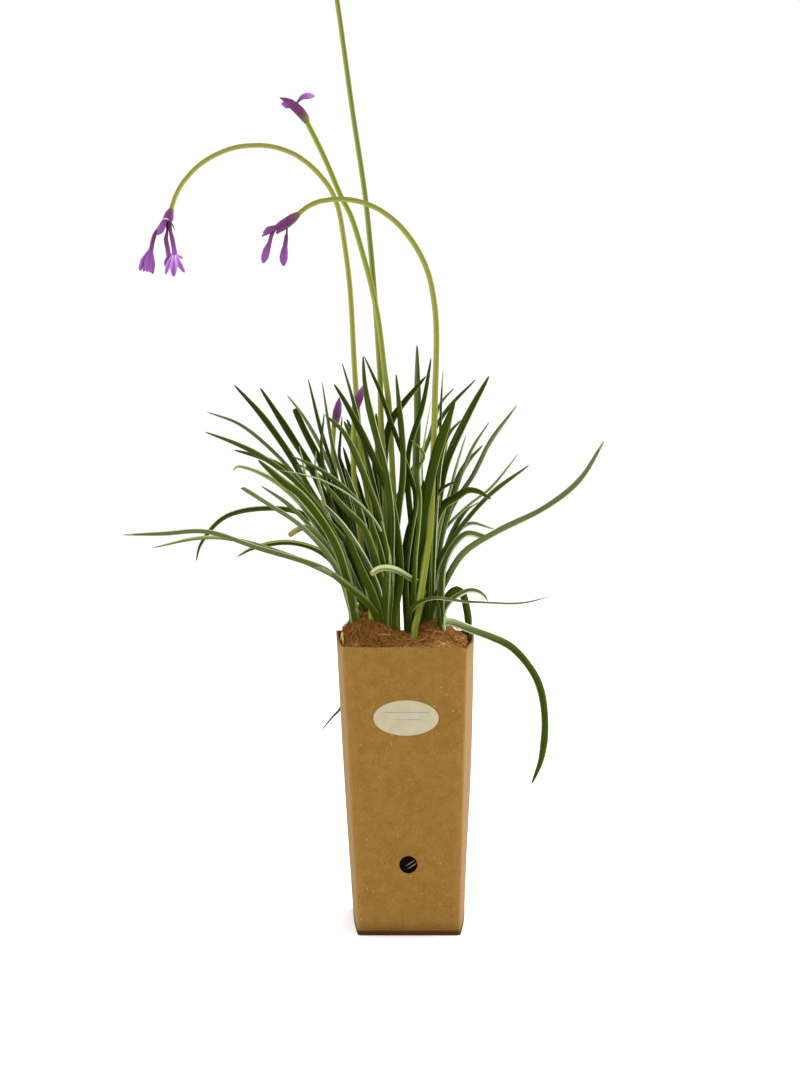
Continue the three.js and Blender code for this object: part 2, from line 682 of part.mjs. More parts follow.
// Flower heads: rows of seen points with radii, [px, py, radius], set at the stalk's own depth
const HEADS = {
  head_b: {
    stalk: 'stalk_b',
    rods: [
      [[306.5, 122, 2.1], [305, 118.7, 2.9], [300, 112, 3.3], [293, 105.5, 3.2], [286.5, 101, 2.2]],
      [[290, 103, 2.4], [283, 99.5, 1.6], [279.6, 97.6, 0.6]],
      [[290, 104, 2.4], [286, 105, 2.5], [281.4, 105.3, 0.9]],
      [
        [295, 106, 0.8], [297.5, 102, 0.8], [299.5, 99.4, 1.1], [302, 97, 1.6], [307, 95.4, 2.3],
        [311, 95.5, 2.0], [315, 96, 0.6],
      ],
    ],
  },
  head_c: {
    stalk: 'stalk_c',
    rods: [
      [[171.5, 209, 2.0], [169.5, 214, 3.2], [168.5, 218, 3.7], [167.5, 221.5, 3.2]],
      [[166, 218, 1.6], [163, 225, 2.4], [160, 231, 2.4], [157.5, 234.5, 0.9]],
      [[164, 219, 0.8], [158, 228, 0.7], [154.5, 235, 1.6], [152.3, 243, 1.6], [150.8, 252, 1.5]],
      [[168.5, 219, 1.4], [167, 232, 1.0], [166, 239, 1.7], [167.3, 247, 1.7], [168.6, 256, 1.6]],
      [[169.5, 219, 1.4], [170.5, 231, 1.2], [172.3, 239, 1.7], [173.8, 247, 1.7], [174.8, 255, 1.6]],
    ],
    flowers: [
      { rod: 2, toward: [145, 272], open: 17, petal: 13, wide: 3.6 },
      { rod: 3, toward: [169, 272], open: 22, petal: 11, wide: 3.4 },
      { rod: 4, toward: [179, 272], open: 38, petal: 13, wide: 4 },
    ],
  },
  head_d: {
    stalk: 'stalk_d',
    rods: [
      [[298.5, 214, 2.1], [294, 217.5, 3.0], [288, 222, 3.5], [282, 227, 3.2], [276.5, 234, 0.9]],
      [[288, 220, 2.2], [281, 223.5, 1.8], [273, 227.5, 0.5]],
      [[276, 227, 1.0], [269, 231, 2.3], [261.7, 236.6, 0.5]],
      [
        [276, 228, 0.9], [271.7, 235, 1.5], [269.5, 243, 1.4], [266.5, 251, 2.7], [265, 257, 2.6],
        [263.5, 262, 1.1],
      ],
      [
        [287, 225, 0.7], [286.8, 233, 0.7], [286.3, 237, 1.5], [284.8, 249, 1.5], [284, 257.5, 2.8],
        [283.7, 266, 0.7],
      ],
    ],
  },
  head_e: {
    stalk: 'stalk_e',
    rods: [[[334.3, 427, 2.2], [335.5, 420, 3.0], [337, 411, 3.2], [338.5, 403, 2.2], [339.3, 397, 0.4]]],
  },
  head_f: {
    stalk: 'stalk_f',
    rods: [[[354.6, 412, 2.3], [355.5, 407, 2.9], [358.5, 398, 3.3], [361.5, 391, 2.2], [364, 384, 0.4]]],
  },
};

function tepals(end, axis, { open, petal, wide }) {
  const start = TEPAL_START.clone().cross(axis).normalize();
  return Array.from({ length: TEPALS.count }, (_, i) => {
    const out = start.clone().applyAxisAngle(axis, THREE.MathUtils.degToRad(i * TEPALS.turn));
    const spread = THREE.MathUtils.degToRad(open + (i % 2) * TEPALS.inner);
    const along = (t, more) => end.clone()
      .addScaledVector(axis, petal * t * Math.cos(spread * more) - TEPALS.sink)
      .addScaledVector(out, petal * t * Math.sin(spread * more) + TEPALS.foot);
    const path = [along(1, TEPALS.curl), along(1 / 2, 1), along(0, 1)];
    const sideways = out.clone().cross(axis);
    return blade(path, { width: wide, shape: TEPAL_SHAPE, sideways, fewest: TEPALS.steps });
  });
}

function seenHead({ stalk: name, rods, flowers = [] }) {
  const spec = STALKS[name];
  const depth = leaned([spec.seen[0]], spec.place[1], spec.lean)[0].y;
  const lines = rods.map((rod) => rod.map(([px, py]) => sighted([px, py], depth)));
  const parts = lines.map((points, i) => pod(points, rods[i].map((at) => at[2])));
  for (const shape of flowers) {
    const end = lines[shape.rod].at(-1);
    const axis = sighted(shape.toward, depth).sub(end).normalize();
    parts.push(...tepals(end, axis, shape));
  }
  return drawn(joined(parts).subtract(solid(stalk(spec, CLEARANCE))).simplify(SLIVER));
}

// The head above the photograph's edge: an open umbel, its flowers set round the stalk's end
const UMBEL = [
  { around: 10, out: 62, stem: 15, open: 62 },
  { around: 100, out: 54, stem: 17, open: 55 },
  { around: 190, out: 68, stem: 14, open: 60 },
  { around: 280, out: 56, stem: 16, open: 58 },
  { around: 55, out: 22, stem: 14 },
  { around: 200, out: 16, stem: 16 },
];
const UMBEL_START = 5;
const UMBEL_SPATHE = [[-4, 2.1], [1, 2.9], [5, 3.1], [9, 1.8]];
const UMBEL_TUBE = [[0, 1.6], [10, 1.5]];
const UMBEL_BUD = [[1, 1.5], [7, 2.4], [12, 0.5]];
const UMBEL_PEDICEL = 0.7;
const UMBEL_FLARE = 2;
const UMBEL_PETAL = { petal: 10, wide: 3.6 };

function umbel() {
  const spec = STALKS.stalk_a;
  const path = stalkPath(spec);
  const end = path[0];
  const axis = end.clone().sub(path[1]).normalize();
  const side = v(0, 1, 0).cross(axis).normalize();
  const toward = (around, out) => {
    const degree = THREE.MathUtils.degToRad;
    const leaf = side.clone().applyAxisAngle(axis, degree(around));
    return axis.clone().multiplyScalar(Math.cos(degree(out))).addScaledVector(leaf, Math.sin(degree(out)));
  };
  const above = (far) => end.clone().addScaledVector(axis, far);
  const start = above(UMBEL_START);
  const parts = [pod(UMBEL_SPATHE.map(([far]) => above(far)), UMBEL_SPATHE.map((ring) => ring[1]))];
  for (const { around, out, stem, open } of UMBEL) {
    const way = toward(around, out);
    const pedicel = [[0, UMBEL_PEDICEL], [stem, UMBEL_PEDICEL]];
    const bloom = (open ? UMBEL_TUBE : UMBEL_BUD).map(([far, size]) => [far + stem + UMBEL_FLARE, size]);
    const rings = [...pedicel, ...bloom];
    const ray = rings.map(([far]) => start.clone().addScaledVector(way, far));
    parts.push(pod(ray, rings.map((ring) => ring[1])));
    if (open) {
      parts.push(...tepals(ray.at(-1), way, { open, ...UMBEL_PETAL }));
    }
  }
  return drawn(joined(parts).subtract(solid(stalk(spec, CLEARANCE))).simplify(SLIVER));
}

// Plain holes for every sheath and stalk
function planted(filling) {
  const bottom = ROOT_DEPTH - CLEARANCE;
  const places = [
    ...Object.values(SHOOTS).map(({ place }) => [place, SHEATH.radius + CLEARANCE]),
    ...Object.values(STALKS).map(({ place }) => [place, STALK_RADIUS + CLEARANCE]),
  ];
  const corner = 1 / Math.cos(Math.PI / SOIL_HOLE.sides);
  return drawn(places.reduce((body, [[x, y], radius]) => {
    const size = radius * corner;
    const hole = new THREE.CylinderGeometry(size, size, SOIL_HOLE.length, SOIL_HOLE.sides);
    hole.rotateX(Math.PI / 2);
    hole.translate(x, y, bottom + SOIL_HOLE.length / 2);
    return body.subtract(solid(hole));
  }, solid(filling)));
}

const KRAFT = { color: 0x946c2f, roughness: 0.85, metalness: 0 };
const PAPER = { color: 0xd5cba3, roughness: 0.8, metalness: 0 };
const BLACK_PLASTIC = { color: 0x101112, roughness: 0.35, metalness: 0 };
const SOIL = { color: 0x2e2118, roughness: 1, metalness: 0 };
const COIR = { color: 0x7a4a28, roughness: 1, metalness: 0 };
const LEAF = { color: 0x4b5f2d, roughness: 0.5, metalness: 0 };
const STALK = { color: 0x9da040, roughness: 0.45, metalness: 0 };
const BLOOM = { color: 0x8f52a0, roughness: 0.55, metalness: 0 };

const garlic = new THREE.Group();

function add(name, geometry, finish) {
  const mesh = new THREE.Mesh(geometry, new THREE.MeshStandardMaterial(finish));
  mesh.name = name;
  garlic.add(mesh);
}

add('carton', cover(), KRAFT);
add('label', label(), PAPER);
add('inner_pot', innerPot(), BLACK_PLASTIC);
add('compost', planted(compost()), SOIL);
add('coir_mat', planted(coirMat()), COIR);
for (const [name, spec] of Object.entries(SHOOTS)) {
  add(name, shoot(spec), LEAF);
}
for (const [name, spec] of Object.entries(STALKS)) {
  add(name, stalk(spec), STALK);
}
add('head_a', umbel(), BLOOM);
for (const [name, spec] of Object.entries(HEADS)) {
  add(name, seenHead(spec), BLOOM);
}

export default garlic;
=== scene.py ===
"""Variegated society garlic in a tall kraft-board pot cover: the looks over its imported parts.

Metres, +Z up, the origin at the middle of the cover's base, the plant facing -Y.
"""

import logging
import math
import random
from collections.abc import Sequence
from dataclasses import dataclass, field
from enum import Enum

import bpy
import numpy as np
from mathutils import Matrix, Vector, noise

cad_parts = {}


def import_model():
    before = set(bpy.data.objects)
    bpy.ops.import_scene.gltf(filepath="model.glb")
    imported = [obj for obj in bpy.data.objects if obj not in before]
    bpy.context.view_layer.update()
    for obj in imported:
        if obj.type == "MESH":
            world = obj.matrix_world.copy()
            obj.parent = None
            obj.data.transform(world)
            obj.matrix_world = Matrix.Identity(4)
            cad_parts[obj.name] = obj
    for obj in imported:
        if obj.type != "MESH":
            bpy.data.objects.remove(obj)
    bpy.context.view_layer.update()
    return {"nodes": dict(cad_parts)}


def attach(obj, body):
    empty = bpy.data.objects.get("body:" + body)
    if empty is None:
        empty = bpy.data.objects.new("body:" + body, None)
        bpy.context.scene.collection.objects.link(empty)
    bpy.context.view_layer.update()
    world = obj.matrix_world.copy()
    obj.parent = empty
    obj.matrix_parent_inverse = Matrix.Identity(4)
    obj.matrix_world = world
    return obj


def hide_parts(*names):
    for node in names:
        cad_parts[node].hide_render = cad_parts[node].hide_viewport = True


LOG = logging.getLogger("society_garlic")

Pixel = tuple[float, ...]
Colour = tuple[int, int, int]

MILLIMETRE = 0.001
PETAL_THICKNESS = 0.0004


# Sight: how the photograph sees the plant


@dataclass(frozen=True)
class Sight:
    """The photograph's eye, its downward pitch and its scale, with the line the plant spreads from."""

    eye: Vector = field(default_factory=lambda: Vector((-0.00628, -1.3, 0.3715)))
    pitch: float = math.radians(4.34)
    pixels_per_slope: float = 1886.0
    centre: Pixel = (400.0, 533.5)
    lens: float = 63.6
    sensor: float = 36.0
    collar_left: float = -0.033
    collar_right: float = 0.024
    collar_height: float = 0.213
    lean_radius: float = 0.160
    lean_at_collar: float = 0.55

    def point(self, pixel: Pixel, depth: float) -> Vector:
        """Find the point of the sight line through a pixel that lies at a depth.

        Args:
            pixel: The place in the photograph.
            depth: The point's y.

        Returns:
            The point in space.
        """
        across = (pixel[0] - self.centre[0]) / self.pixels_per_slope
        above = (self.centre[1] - pixel[1]) / self.pixels_per_slope
        cosine, sine = math.cos(self.pitch), math.sin(self.pitch)
        ray = Vector((across, cosine + above * sine, above * cosine - sine))
        return self.eye + ray * ((depth - self.eye.y) / ray.y)

    def reach(self, pixel: Pixel) -> float:
        """Measure how far a seen point stands from the collar, eased so that leaves leave it upright.

        Args:
            pixel: The place in the photograph.

        Returns:
            The eased distance.
        """
        at = self.point(pixel, 0.0)
        beside = max(0.0, self.collar_left - at.x, at.x - self.collar_right)
        distance = math.hypot(beside, at.z - self.collar_height)
        share = min(1.0, distance / self.lean_radius)
        return distance * mix(self.lean_at_collar, 1.0, share)

    def leaned(self, seen: Sequence[Pixel], depth: float, lean: float) -> list[Vector]:
        """Push seen points along their sight lines, by a lean that grows with their reach.

        Args:
            seen: The places in the photograph; a third number sets a point's y, in millimetres.
            depth: The y that the shoot stands at.
            lean: The y gained per metre of reach.

        Returns:
            The points in space.
        """
        points = []
        for pixel in seen:
            given = pixel[2] * MILLIMETRE if len(pixel) > 2 else depth + lean * self.reach(pixel)
            points.append(self.point(pixel, given))
        return points


def mix(first: float, second: float, share: float | np.ndarray) -> float | np.ndarray:
    """Return the value that lies a share of the way from the first to the second."""
    return first + (second - first) * share


def smooth(value: float) -> float:
    """Return a value eased between nought and one."""
    held = min(1.0, max(0.0, value))
    return held * held * (3.0 - 2.0 * held)


SIGHT = Sight()


# Ways: smooth lines that leaves and stalks follow


class Way:
    """A smooth line through points, walked by the share of its length."""

    SAMPLES = 24

    def __init__(self, points: Sequence[Vector]) -> None:
        """Run a centripetal spline through the points.

        Args:
            points: The points, in order.
        """
        ends = [points[0] * 2 - points[1], *points, points[-1] * 2 - points[-2]]
        line = []
        for start in range(len(points) - 1):
            line += self._stretch(ends[start : start + 4])
        line.append(points[-1])
        self.line = np.array([tuple(point) for point in line])
        steps = np.linalg.norm(np.diff(self.line, axis=0), axis=1)
        self.walked = np.concatenate(([0.0], np.cumsum(steps)))
        self.length = float(self.walked[-1])

    def _stretch(self, four: Sequence[Vector]) -> list[Vector]:
        """Sample the stretch between the middle two of four points.

        Args:
            four: The stretch's two ends, with the points before and after them.

        Returns:
            The samples, without the last.
        """
        before, start, end, after = four
        gaps = [max(1e-5, math.sqrt((b - a).length)) for a, b in zip(four, four[1:])]
        leave = (start - before) / gaps[0] - (end - before) / (gaps[0] + gaps[1]) + (end - start) / gaps[1]
        arrive = (end - start) / gaps[1] - (after - start) / (gaps[1] + gaps[2]) + (after - end) / gaps[2]
        leave *= gaps[1]
        arrive *= gaps[1]
        square = (end - start) * 3 - leave * 2 - arrive
        cube = (start - end) * 2 + leave + arrive
        shares = [i / self.SAMPLES for i in range(self.SAMPLES)]
        return [start + leave * t + square * t**2 + cube * t**3 for t in shares]

    def at(self, shares: np.ndarray) -> np.ndarray:
        """Return the points at shares of the length, one row of x, y and z for each."""
        far = shares * self.length
        return np.stack([np.interp(far, self.walked, self.line[:, axis]) for axis in range(3)], axis=1)

    def along(self, shares: np.ndarray) -> np.ndarray:
        """Find the unit directions at shares of the length.

        Args:
            shares: Values from nought to one.

        Returns:
            One row of x, y, z for each share.
        """
        step = 0.004
        ahead = self.at(np.minimum(shares + step, 1.0))
        behind = self.at(np.maximum(shares - step, 0.0))
        return unit(ahead - behind)


def unit(rows: np.ndarray) -> np.ndarray:
    """Return rows of vectors, each made one long."""
    return rows / np.maximum(np.linalg.norm(rows, axis=-1, keepdims=True), 1e-12)


def turned(rows: np.ndarray, about: np.ndarray, angles: np.ndarray) -> np.ndarray:
    """Return vectors turned about the unit axes that they stand square to, by angles in radians."""
    cosine, sine = np.cos(angles)[:, None], np.sin(angles)[:, None]
    return rows * cosine + np.cross(about, rows) * sine


# Modelling: blanks made by hand once, and bundles of their copies


def select_only(piece: bpy.types.Object | None) -> None:
    """Deselect everything, then select one piece and make it active.

    Args:
        piece: The piece, or nothing.
    """
    bpy.ops.object.select_all(action="DESELECT")
    if piece is not None:
        piece.select_set(True)
        bpy.context.view_layer.objects.active = piece


class Blank:
    """A closed rod of rings, modelled once and copied for everything long and thin."""

    def __init__(self, sides: int, rings: int) -> None:
        """Model the rod and note where its corners lie on it.

        Args:
            sides: How many corners each ring has.
            rings: How many stretches lie between its ends.
        """
        select_only(None)
        bpy.ops.mesh.primitive_cylinder_add(
            vertices=sides, radius=1.0, depth=1.0, end_fill_type="TRIFAN", location=(0.0, 0.0, 0.5)
        )
        rod = bpy.context.active_object
        bpy.ops.object.transform_apply(location=True, rotation=False, scale=False)
        bpy.ops.object.mode_set(mode="EDIT")
        bpy.ops.mesh.select_mode(type="EDGE")
        bpy.ops.mesh.select_all(action="DESELECT")
        bpy.ops.object.mode_set(mode="OBJECT")
        corners = rod.data.vertices
        for edge in rod.data.edges:
            low, high = (corners[index].co.z for index in edge.vertices)
            edge.select = abs(high - low) > 0.5
        bpy.ops.object.mode_set(mode="EDIT")
        bpy.ops.mesh.subdivide(number_cuts=rings - 1)
        bpy.ops.mesh.select_mode(type="VERT")
        bpy.ops.object.mode_set(mode="OBJECT")
        places = np.array([tuple(corner.co) for corner in rod.data.vertices])
        self.shares = np.linspace(0.0, 1.0, rings + 1)
        self.ring = np.rint(places[:, 2] * rings).astype(int)
        self.across = places[:, 0]
        self.upward = places[:, 1]
        self.angle = np.arctan2(places[:, 1], places[:, 0])
        self.faces = [tuple(face.vertices) for face in rod.data.polygons]
        bpy.data.objects.remove(rod)


@dataclass
class Course:
    """The rings of one copy: their middles, the two directions of each and their sizes."""

    middles: np.ndarray
    flats: np.ndarray
    ups: np.ndarray
    halves: np.ndarray
    bodies: np.ndarray
    lifts: np.ndarray
    ridge: float = 0.0
    ridges: int = 3
    tube: bool = False


class Bundle:
    """Copies of blanks that become one piece."""

    def __init__(self) -> None:
        """Start with nothing in it."""
        self.points: list[np.ndarray] = []
        self.faces: list[tuple[int, ...]] = []
        self.grain: list[np.ndarray] = []
        self.look: list[np.ndarray] = []
        self.count = 0

    def add(self, blank: Blank, course: Course, looks: np.ndarray, length: float, seed: float) -> None:
        """Lay a copy of a blank along its course.

        Args:
            blank: The rod that is copied.
            course: Where its rings go.
            looks: Three values of its look for each ring.
            length: How long it is, for its grain.
            seed: What sets its pattern apart from its neighbours'.
        """
        ring = blank.ring
        swell = 1.0 + course.ridge * np.cos(course.ridges * blank.angle)
        across = (blank.across * swell)[:, None]
        upward = (blank.upward * swell)[:, None]
        lift = course.lifts[ring][:, None] * across**2
        points = course.middles[ring] + course.flats[ring] * course.halves[ring][:, None] * across
        points = points + course.ups[ring] * (lift + course.bodies[ring][:, None] * upward)
        middle = len(course.middles) // 2
        along = course.middles[min(middle + 1, len(course.middles) - 1)] - course.middles[middle]
        outward = np.dot(np.cross(course.flats[middle], course.ups[middle]), along) > 0
        for face in blank.faces:
            order = face if outward else face[::-1]
            self.faces.append(tuple(self.count + index for index in order))
        side = blank.angle / math.pi if course.tube else blank.across
        grain = np.stack([side, blank.shares[ring] * length, np.full(len(ring), seed)], axis=1)
        self.points.append(points)
        self.grain.append(grain)
        self.look.append(looks[ring])
        self.count += len(points)

    def made(
        self, name: str, material: bpy.types.Material, nodes: Sequence[str]
    ) -> bpy.types.Object:
        """Make one piece of everything in the bundle.

        Args:
            name: The piece's name.
            material: Its finish.
            nodes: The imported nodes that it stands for.

        Returns:
            The piece, riding on the plant.
        """
        mesh = bpy.data.meshes.new(name)
        mesh.from_pydata(np.concatenate(self.points).tolist(), [], self.faces)
        for label, rows in (("grain", self.grain), ("look", self.look)):
            note = mesh.attributes.new(label, "FLOAT_VECTOR", "POINT")
            note.data.foreach_set("vector", np.concatenate(rows).astype(np.float32).ravel())
        piece = bpy.data.objects.new(name, mesh)
        bpy.context.scene.collection.objects.link(piece)
        select_only(piece)
        bpy.ops.object.shade_smooth()
        return dressed(piece, material, nodes)


def dressed(
    piece: bpy.types.Object, material: bpy.types.Material, nodes: Sequence[str]
) -> bpy.types.Object:
    """Give a piece its finish, and put it in its place on the plant.

    Args:
        piece: The finished piece.
        material: Its finish.
        nodes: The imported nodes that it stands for.

    Returns:
        The same piece.
    """
    piece.data.materials.clear()
    piece.data.materials.append(material)
    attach(piece, "root")
    if nodes:
        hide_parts(*nodes)
    LOG.info("%s: %d faces", piece.name, len(piece.data.polygons))
    return piece


def apply_modifiers(piece: bpy.types.Object) -> None:
    """Apply a piece's modifiers from the first to the last.

    Args:
        piece: The piece they are on.
    """
    select_only(piece)
    for modifier in list(piece.modifiers):
        bpy.ops.object.modifier_apply(modifier=modifier.name)


# Finishes: the nodes of the materials, written as sums


def paint(colour: Colour) -> tuple[float, float, float, float]:
    """Turn a colour as seen in the photograph into the light that it reflects.

    Args:
        colour: Red, green and blue from 0 to 255.

    Returns:
        The colour in linear light, with full alpha.
    """
    light = []
    for part in colour:
        share = part / 255.0
        light.append(share / 12.92 if share <= 0.04045 else ((share + 0.055) / 1.055) ** 2.4)
    return (light[0], light[1], light[2], 1.0)


class Wire:
    """A value, colour or vector between nodes; a sum on it adds the nodes that it needs."""

    def __init__(self, bench: "Bench", socket: bpy.types.NodeSocket) -> None:
        """Hold an output of one of a bench's nodes."""
        self.bench = bench
        self.socket = socket

    def __add__(self, other: "Wire | float") -> "Wire":
        """Return this plus the other."""
        return self.bench.maths("ADD", self, other)

    __radd__ = __add__

    def __sub__(self, other: "Wire | float") -> "Wire":
        """Return this less the other."""
        return self.bench.maths("SUBTRACT", self, other)

    def __rsub__(self, other: float) -> "Wire":
        """Return the other less this."""
        return self.bench.maths("SUBTRACT", other, self)

    def __mul__(self, other: "Wire | float") -> "Wire":
        """Return this times the other."""
        return self.bench.maths("MULTIPLY", self, other)

    __rmul__ = __mul__

    def __abs__(self) -> "Wire":
        """Return this without its sign."""
        return self.bench.maths("ABSOLUTE", self)

    def rises(self, low: float, high: float) -> "Wire":
        """Ease from nought to one between two values.

        Args:
            low: Where it is nought.
            high: Where it is one.

        Returns:
            The eased value.
        """
        settings = {"interpolation_type": "SMOOTHSTEP", "clamp": True}
        inputs = {"Value": self, "From Min": low, "From Max": high, "To Min": 0.0, "To Max": 1.0}
        return self.bench.out(self.bench.node("ShaderNodeMapRange", settings, inputs), "Result")

    def parts(self) -> tuple["Wire", "Wire", "Wire"]:
        """Return the x, y and z of a vector."""
        node = self.bench.node("ShaderNodeSeparateXYZ", None, {"Vector": self})
        return tuple(self.bench.out(node, axis) for axis in "XYZ")


class Bench:
    """The nodes of one material, from its inputs to its surface."""

    def __init__(self, name: str) -> None:
        """Start a material with no nodes.

        Args:
            name: The material's name.
        """
        self.material = bpy.data.materials.new(name)
        self.material.use_nodes = True
        self.tree = self.material.node_tree
        self.tree.nodes.clear()

    def node(self, kind: str, settings: dict | None = None, inputs: dict | None = None) -> bpy.types.Node:
        """Add a node, set it up and feed it.

        Args:
            kind: The node's type.
            settings: Its own settings; "stops" are a colour ramp's places and colours.
            inputs: Values or wires, by the socket's name or number.

        Returns:
            The node.
        """
        node = self.tree.nodes.new(kind)
        for key, value in (settings or {}).items():
            if key == "stops":
                ramp = node.color_ramp
                while len(ramp.elements) < len(value):
                    ramp.elements.new(1.0)
                for element, (place, colour) in zip(ramp.elements, value):
                    element.position = place
                    element.color = paint(colour)
            else:
                setattr(node, key, value)
        for key, value in (inputs or {}).items():
            if isinstance(value, Wire):
                self.tree.links.new(value.socket, node.inputs[key])
            else:
                node.inputs[key].default_value = value
        return node

    def out(self, node: bpy.types.Node, name: str | int) -> Wire:
        """Return a node's output as a wire."""
        return Wire(self, node.outputs[name])

    def maths(self, operation: str, *values: Wire | float) -> Wire:
        """Return what a Math node makes of one or two wires or numbers."""
        node = self.node("ShaderNodeMath", {"operation": operation}, dict(enumerate(values)))
        return self.out(node, "Value")

    def blend(self, share: Wire | float, first: Wire | Colour, second: Wire | Colour) -> Wire:
        """Blend two colours.

        Args:
            share: How much of the second there is.
            first: A wire or a colour as seen.
            second: A wire or a colour as seen.

        Returns:
            The blended colour.
        """
        ends = [end if isinstance(end, Wire) else paint(end) for end in (first, second)]
        inputs = {0: share, 6: ends[0], 7: ends[1]}
        return self.out(self.node("ShaderNodeMix", {"data_type": "RGBA"}, inputs), 2)

    def ramp(self, value: Wire, stops: Sequence[tuple[float, Colour]]) -> Wire:
        """Return a value's colour, from stops that are places with their colours."""
        return self.out(self.node("ShaderNodeValToRGB", {"stops": stops}, {"Fac": value}), "Color")

    def joined(self, x: Wire | float, y: Wire | float, z: Wire | float) -> Wire:
        """Return a vector of three values."""
        return self.out(self.node("ShaderNodeCombineXYZ", None, {"X": x, "Y": y, "Z": z}), "Vector")

    def place(self) -> Wire:
        """Return the place on the object."""
        return self.out(self.node("ShaderNodeTexCoord"), "Object")

    def noted(self, name: str) -> Wire:
        """Return the values that a mesh carries under a name."""
        return self.out(self.node("ShaderNodeAttribute", {"attribute_name": name}), "Vector")

    def scaled(self, vector: Wire, scale: tuple[float, float, float], turn: float) -> Wire:
        """Return a vector stretched, then turned about y and about z, so that its patterns differ."""
        inputs = {"Vector": vector, "Scale": scale, "Rotation": (0.0, turn, turn)}
        return self.out(self.node("ShaderNodeMapping", None, inputs), "Vector")

    def cloud(self, vector: Wire, scale: float, detail: float = 2.0, rough: float = 0.5) -> Wire:
        """Return soft noise from nought to one: its lumps to a metre, its finer layers, their strength."""
        inputs = {"Vector": vector, "Scale": scale, "Detail": detail, "Roughness": rough}
        return self.out(self.node("ShaderNodeTexNoise", None, inputs), 0)

    def surface(
        self,
        colour: Wire,
        roughness: Wire | float,
        height: Wire | None = None,
        relief: float = 0.0001,
        gloss: float = 0.5,
    ) -> bpy.types.Material:
        """Close the material with its surface.

        Args:
            colour: The base colour.
            roughness: How matt it is.
            height: Its relief, from nought to one.
            relief: How deep the relief is.
            gloss: How strongly it shines.

        Returns:
            The material.
        """
        inputs = {"Base Color": colour, "Roughness": roughness, "Specular IOR Level": gloss}
        if height is not None:
            bump = self.node("ShaderNodeBump", None, {"Strength": 1.0, "Distance": relief, "Height": height})
            inputs["Normal"] = self.out(bump, "Normal")
        shader = self.node("ShaderNodeBsdfPrincipled", None, inputs)
        self.node("ShaderNodeOutputMaterial", None, {"Surface": self.out(shader, "BSDF")})
        return self.material


@dataclass(frozen=True)
class LeafFinish:
    """Living leaf: green by its tone, cream along its margins, straw at a dry tip; painted shade darkens and
    yellows it towards its foot, and painted light makes one side of each blade lighter.
    """

    dark: Colour = (32, 46, 0)
    fresh: Colour = (58, 72, 18)
    grey: Colour = (96, 107, 66)
    silver: Colour = (142, 152, 100)
    milky: Colour = (180, 192, 134)
    stripe: Colour = (114, 128, 64)
    cream: Colour = (152, 166, 90)
    white: Colour = (212, 220, 182)
    # The dark yellow-green of the painted shade at a leaf's foot.
    foot: Colour = (62, 72, 4)
    straw: Colour = (156, 134, 58)

    def make(self) -> bpy.types.Material:
        """Set up the finish.

        Returns:
            The material.
        """
        bench = Bench("leaf, green with cream margins")
        across, along, seed = bench.noted("grain").parts()
        tone, margin, foot_shade_and_dryness = bench.noted("look").parts()
        broad = bench.cloud(bench.joined(across * 2.6 + seed * 7.0, along * 9.0, seed * 13.0), 1.0, 2.0)
        fine = bench.cloud(bench.joined(across * 11.0 + seed * 5.0, along * 14.0, seed * 29.0), 1.0, 2.0)
        blotch = bench.cloud(bench.joined(across, along * 60.0, seed * 3.0), 1.0, 3.0)
        # low: painted shade at the leaf's foot, where the clump shades it; it darkens the tone, blends in the
        # foot colour and dims the margins.
        low = (0.0 - foot_shade_and_dryness).rises(0.05, 0.8)
        shade = tone * (1.0 - low * 0.7) + (broad - 0.5) * 0.4 + (blotch - 0.5) * 0.25
        # Painted light: one side of each blade is lighter than the other, across its width.
        shade = shade + across * (seed - 0.5) * 0.5
        green = bench.ramp(
            shade,
            [(0.0, self.dark), (0.45, self.fresh), (0.76, self.grey), (0.92, self.silver), (1.0, self.milky)],
        )
        lines = (fine + (broad - 0.5) * 0.4).rises(0.56, 0.72)
        green = bench.blend(lines * (tone * 0.5 + 0.10), green, self.stripe)
        green = bench.blend(low * 0.6, green, self.foot)
        edge = (abs(across) + margin + (fine - 0.5) * 0.16).rises(0.96, 1.08)
        pale = bench.blend((tone * 0.7 + seed * 0.7).rises(0.45, 1.0), self.cream, self.white)
        green = bench.blend(edge * (0.5 + blotch * 0.5) * (1.0 - low * 0.7), green, pale)
        parched = (foot_shade_and_dryness + (fine - 0.5) * 0.5).rises(0.35, 0.65)
        colour = bench.blend(parched * 0.8, green, self.straw)
        relief = fine * 0.6 + broad * 0.4
        return bench.surface(colour, 0.46 + blotch * 0.16, relief, 0.00016, gloss=0.02)


@dataclass(frozen=True)
class StalkFinish:
    """Flower stalk: olive to khaki by its tone, yellower where it is bright, finely streaked, with a painted
    highlight along one side.
    """

    olive: Colour = (76, 88, 22)
    khaki: Colour = (134, 124, 50)
    bright: Colour = (104, 116, 0)
    painted_highlight: Colour = (160, 164, 80)

    def make(self) -> bpy.types.Material:
        """Set up the finish.

        Returns:
            The material.
        """
        bench = Bench("stalk, streaked green")
        around, along, seed = bench.noted("grain").parts()
        tone, bright, lit = bench.noted("look").parts()
        lanes = bench.joined(abs(around) * 9.0 + seed * 7.0, along * 12.0, seed * 11.0)
        streaks = bench.cloud(lanes, 1.0, 3.0)
        mottle = bench.cloud(bench.joined(abs(around), along * 90.0, seed), 1.0, 3.0)
        colour = bench.blend(tone + (mottle - 0.5) * 0.3, self.olive, self.khaki)
        colour = bench.blend(bright * (0.7 + mottle * 0.4), colour, self.bright)
        # Painted highlight: a pale band along one side of the stalk, as if lit from that side.
        pale = 1.0 - (abs(around) + (streaks - 0.5) * 0.5).rises(0.25, 0.60)
        colour = bench.blend(pale * lit, colour, self.painted_highlight)
        return bench.surface(colour, 0.44 + mottle * 0.15, streaks, 0.00012, gloss=0.2)


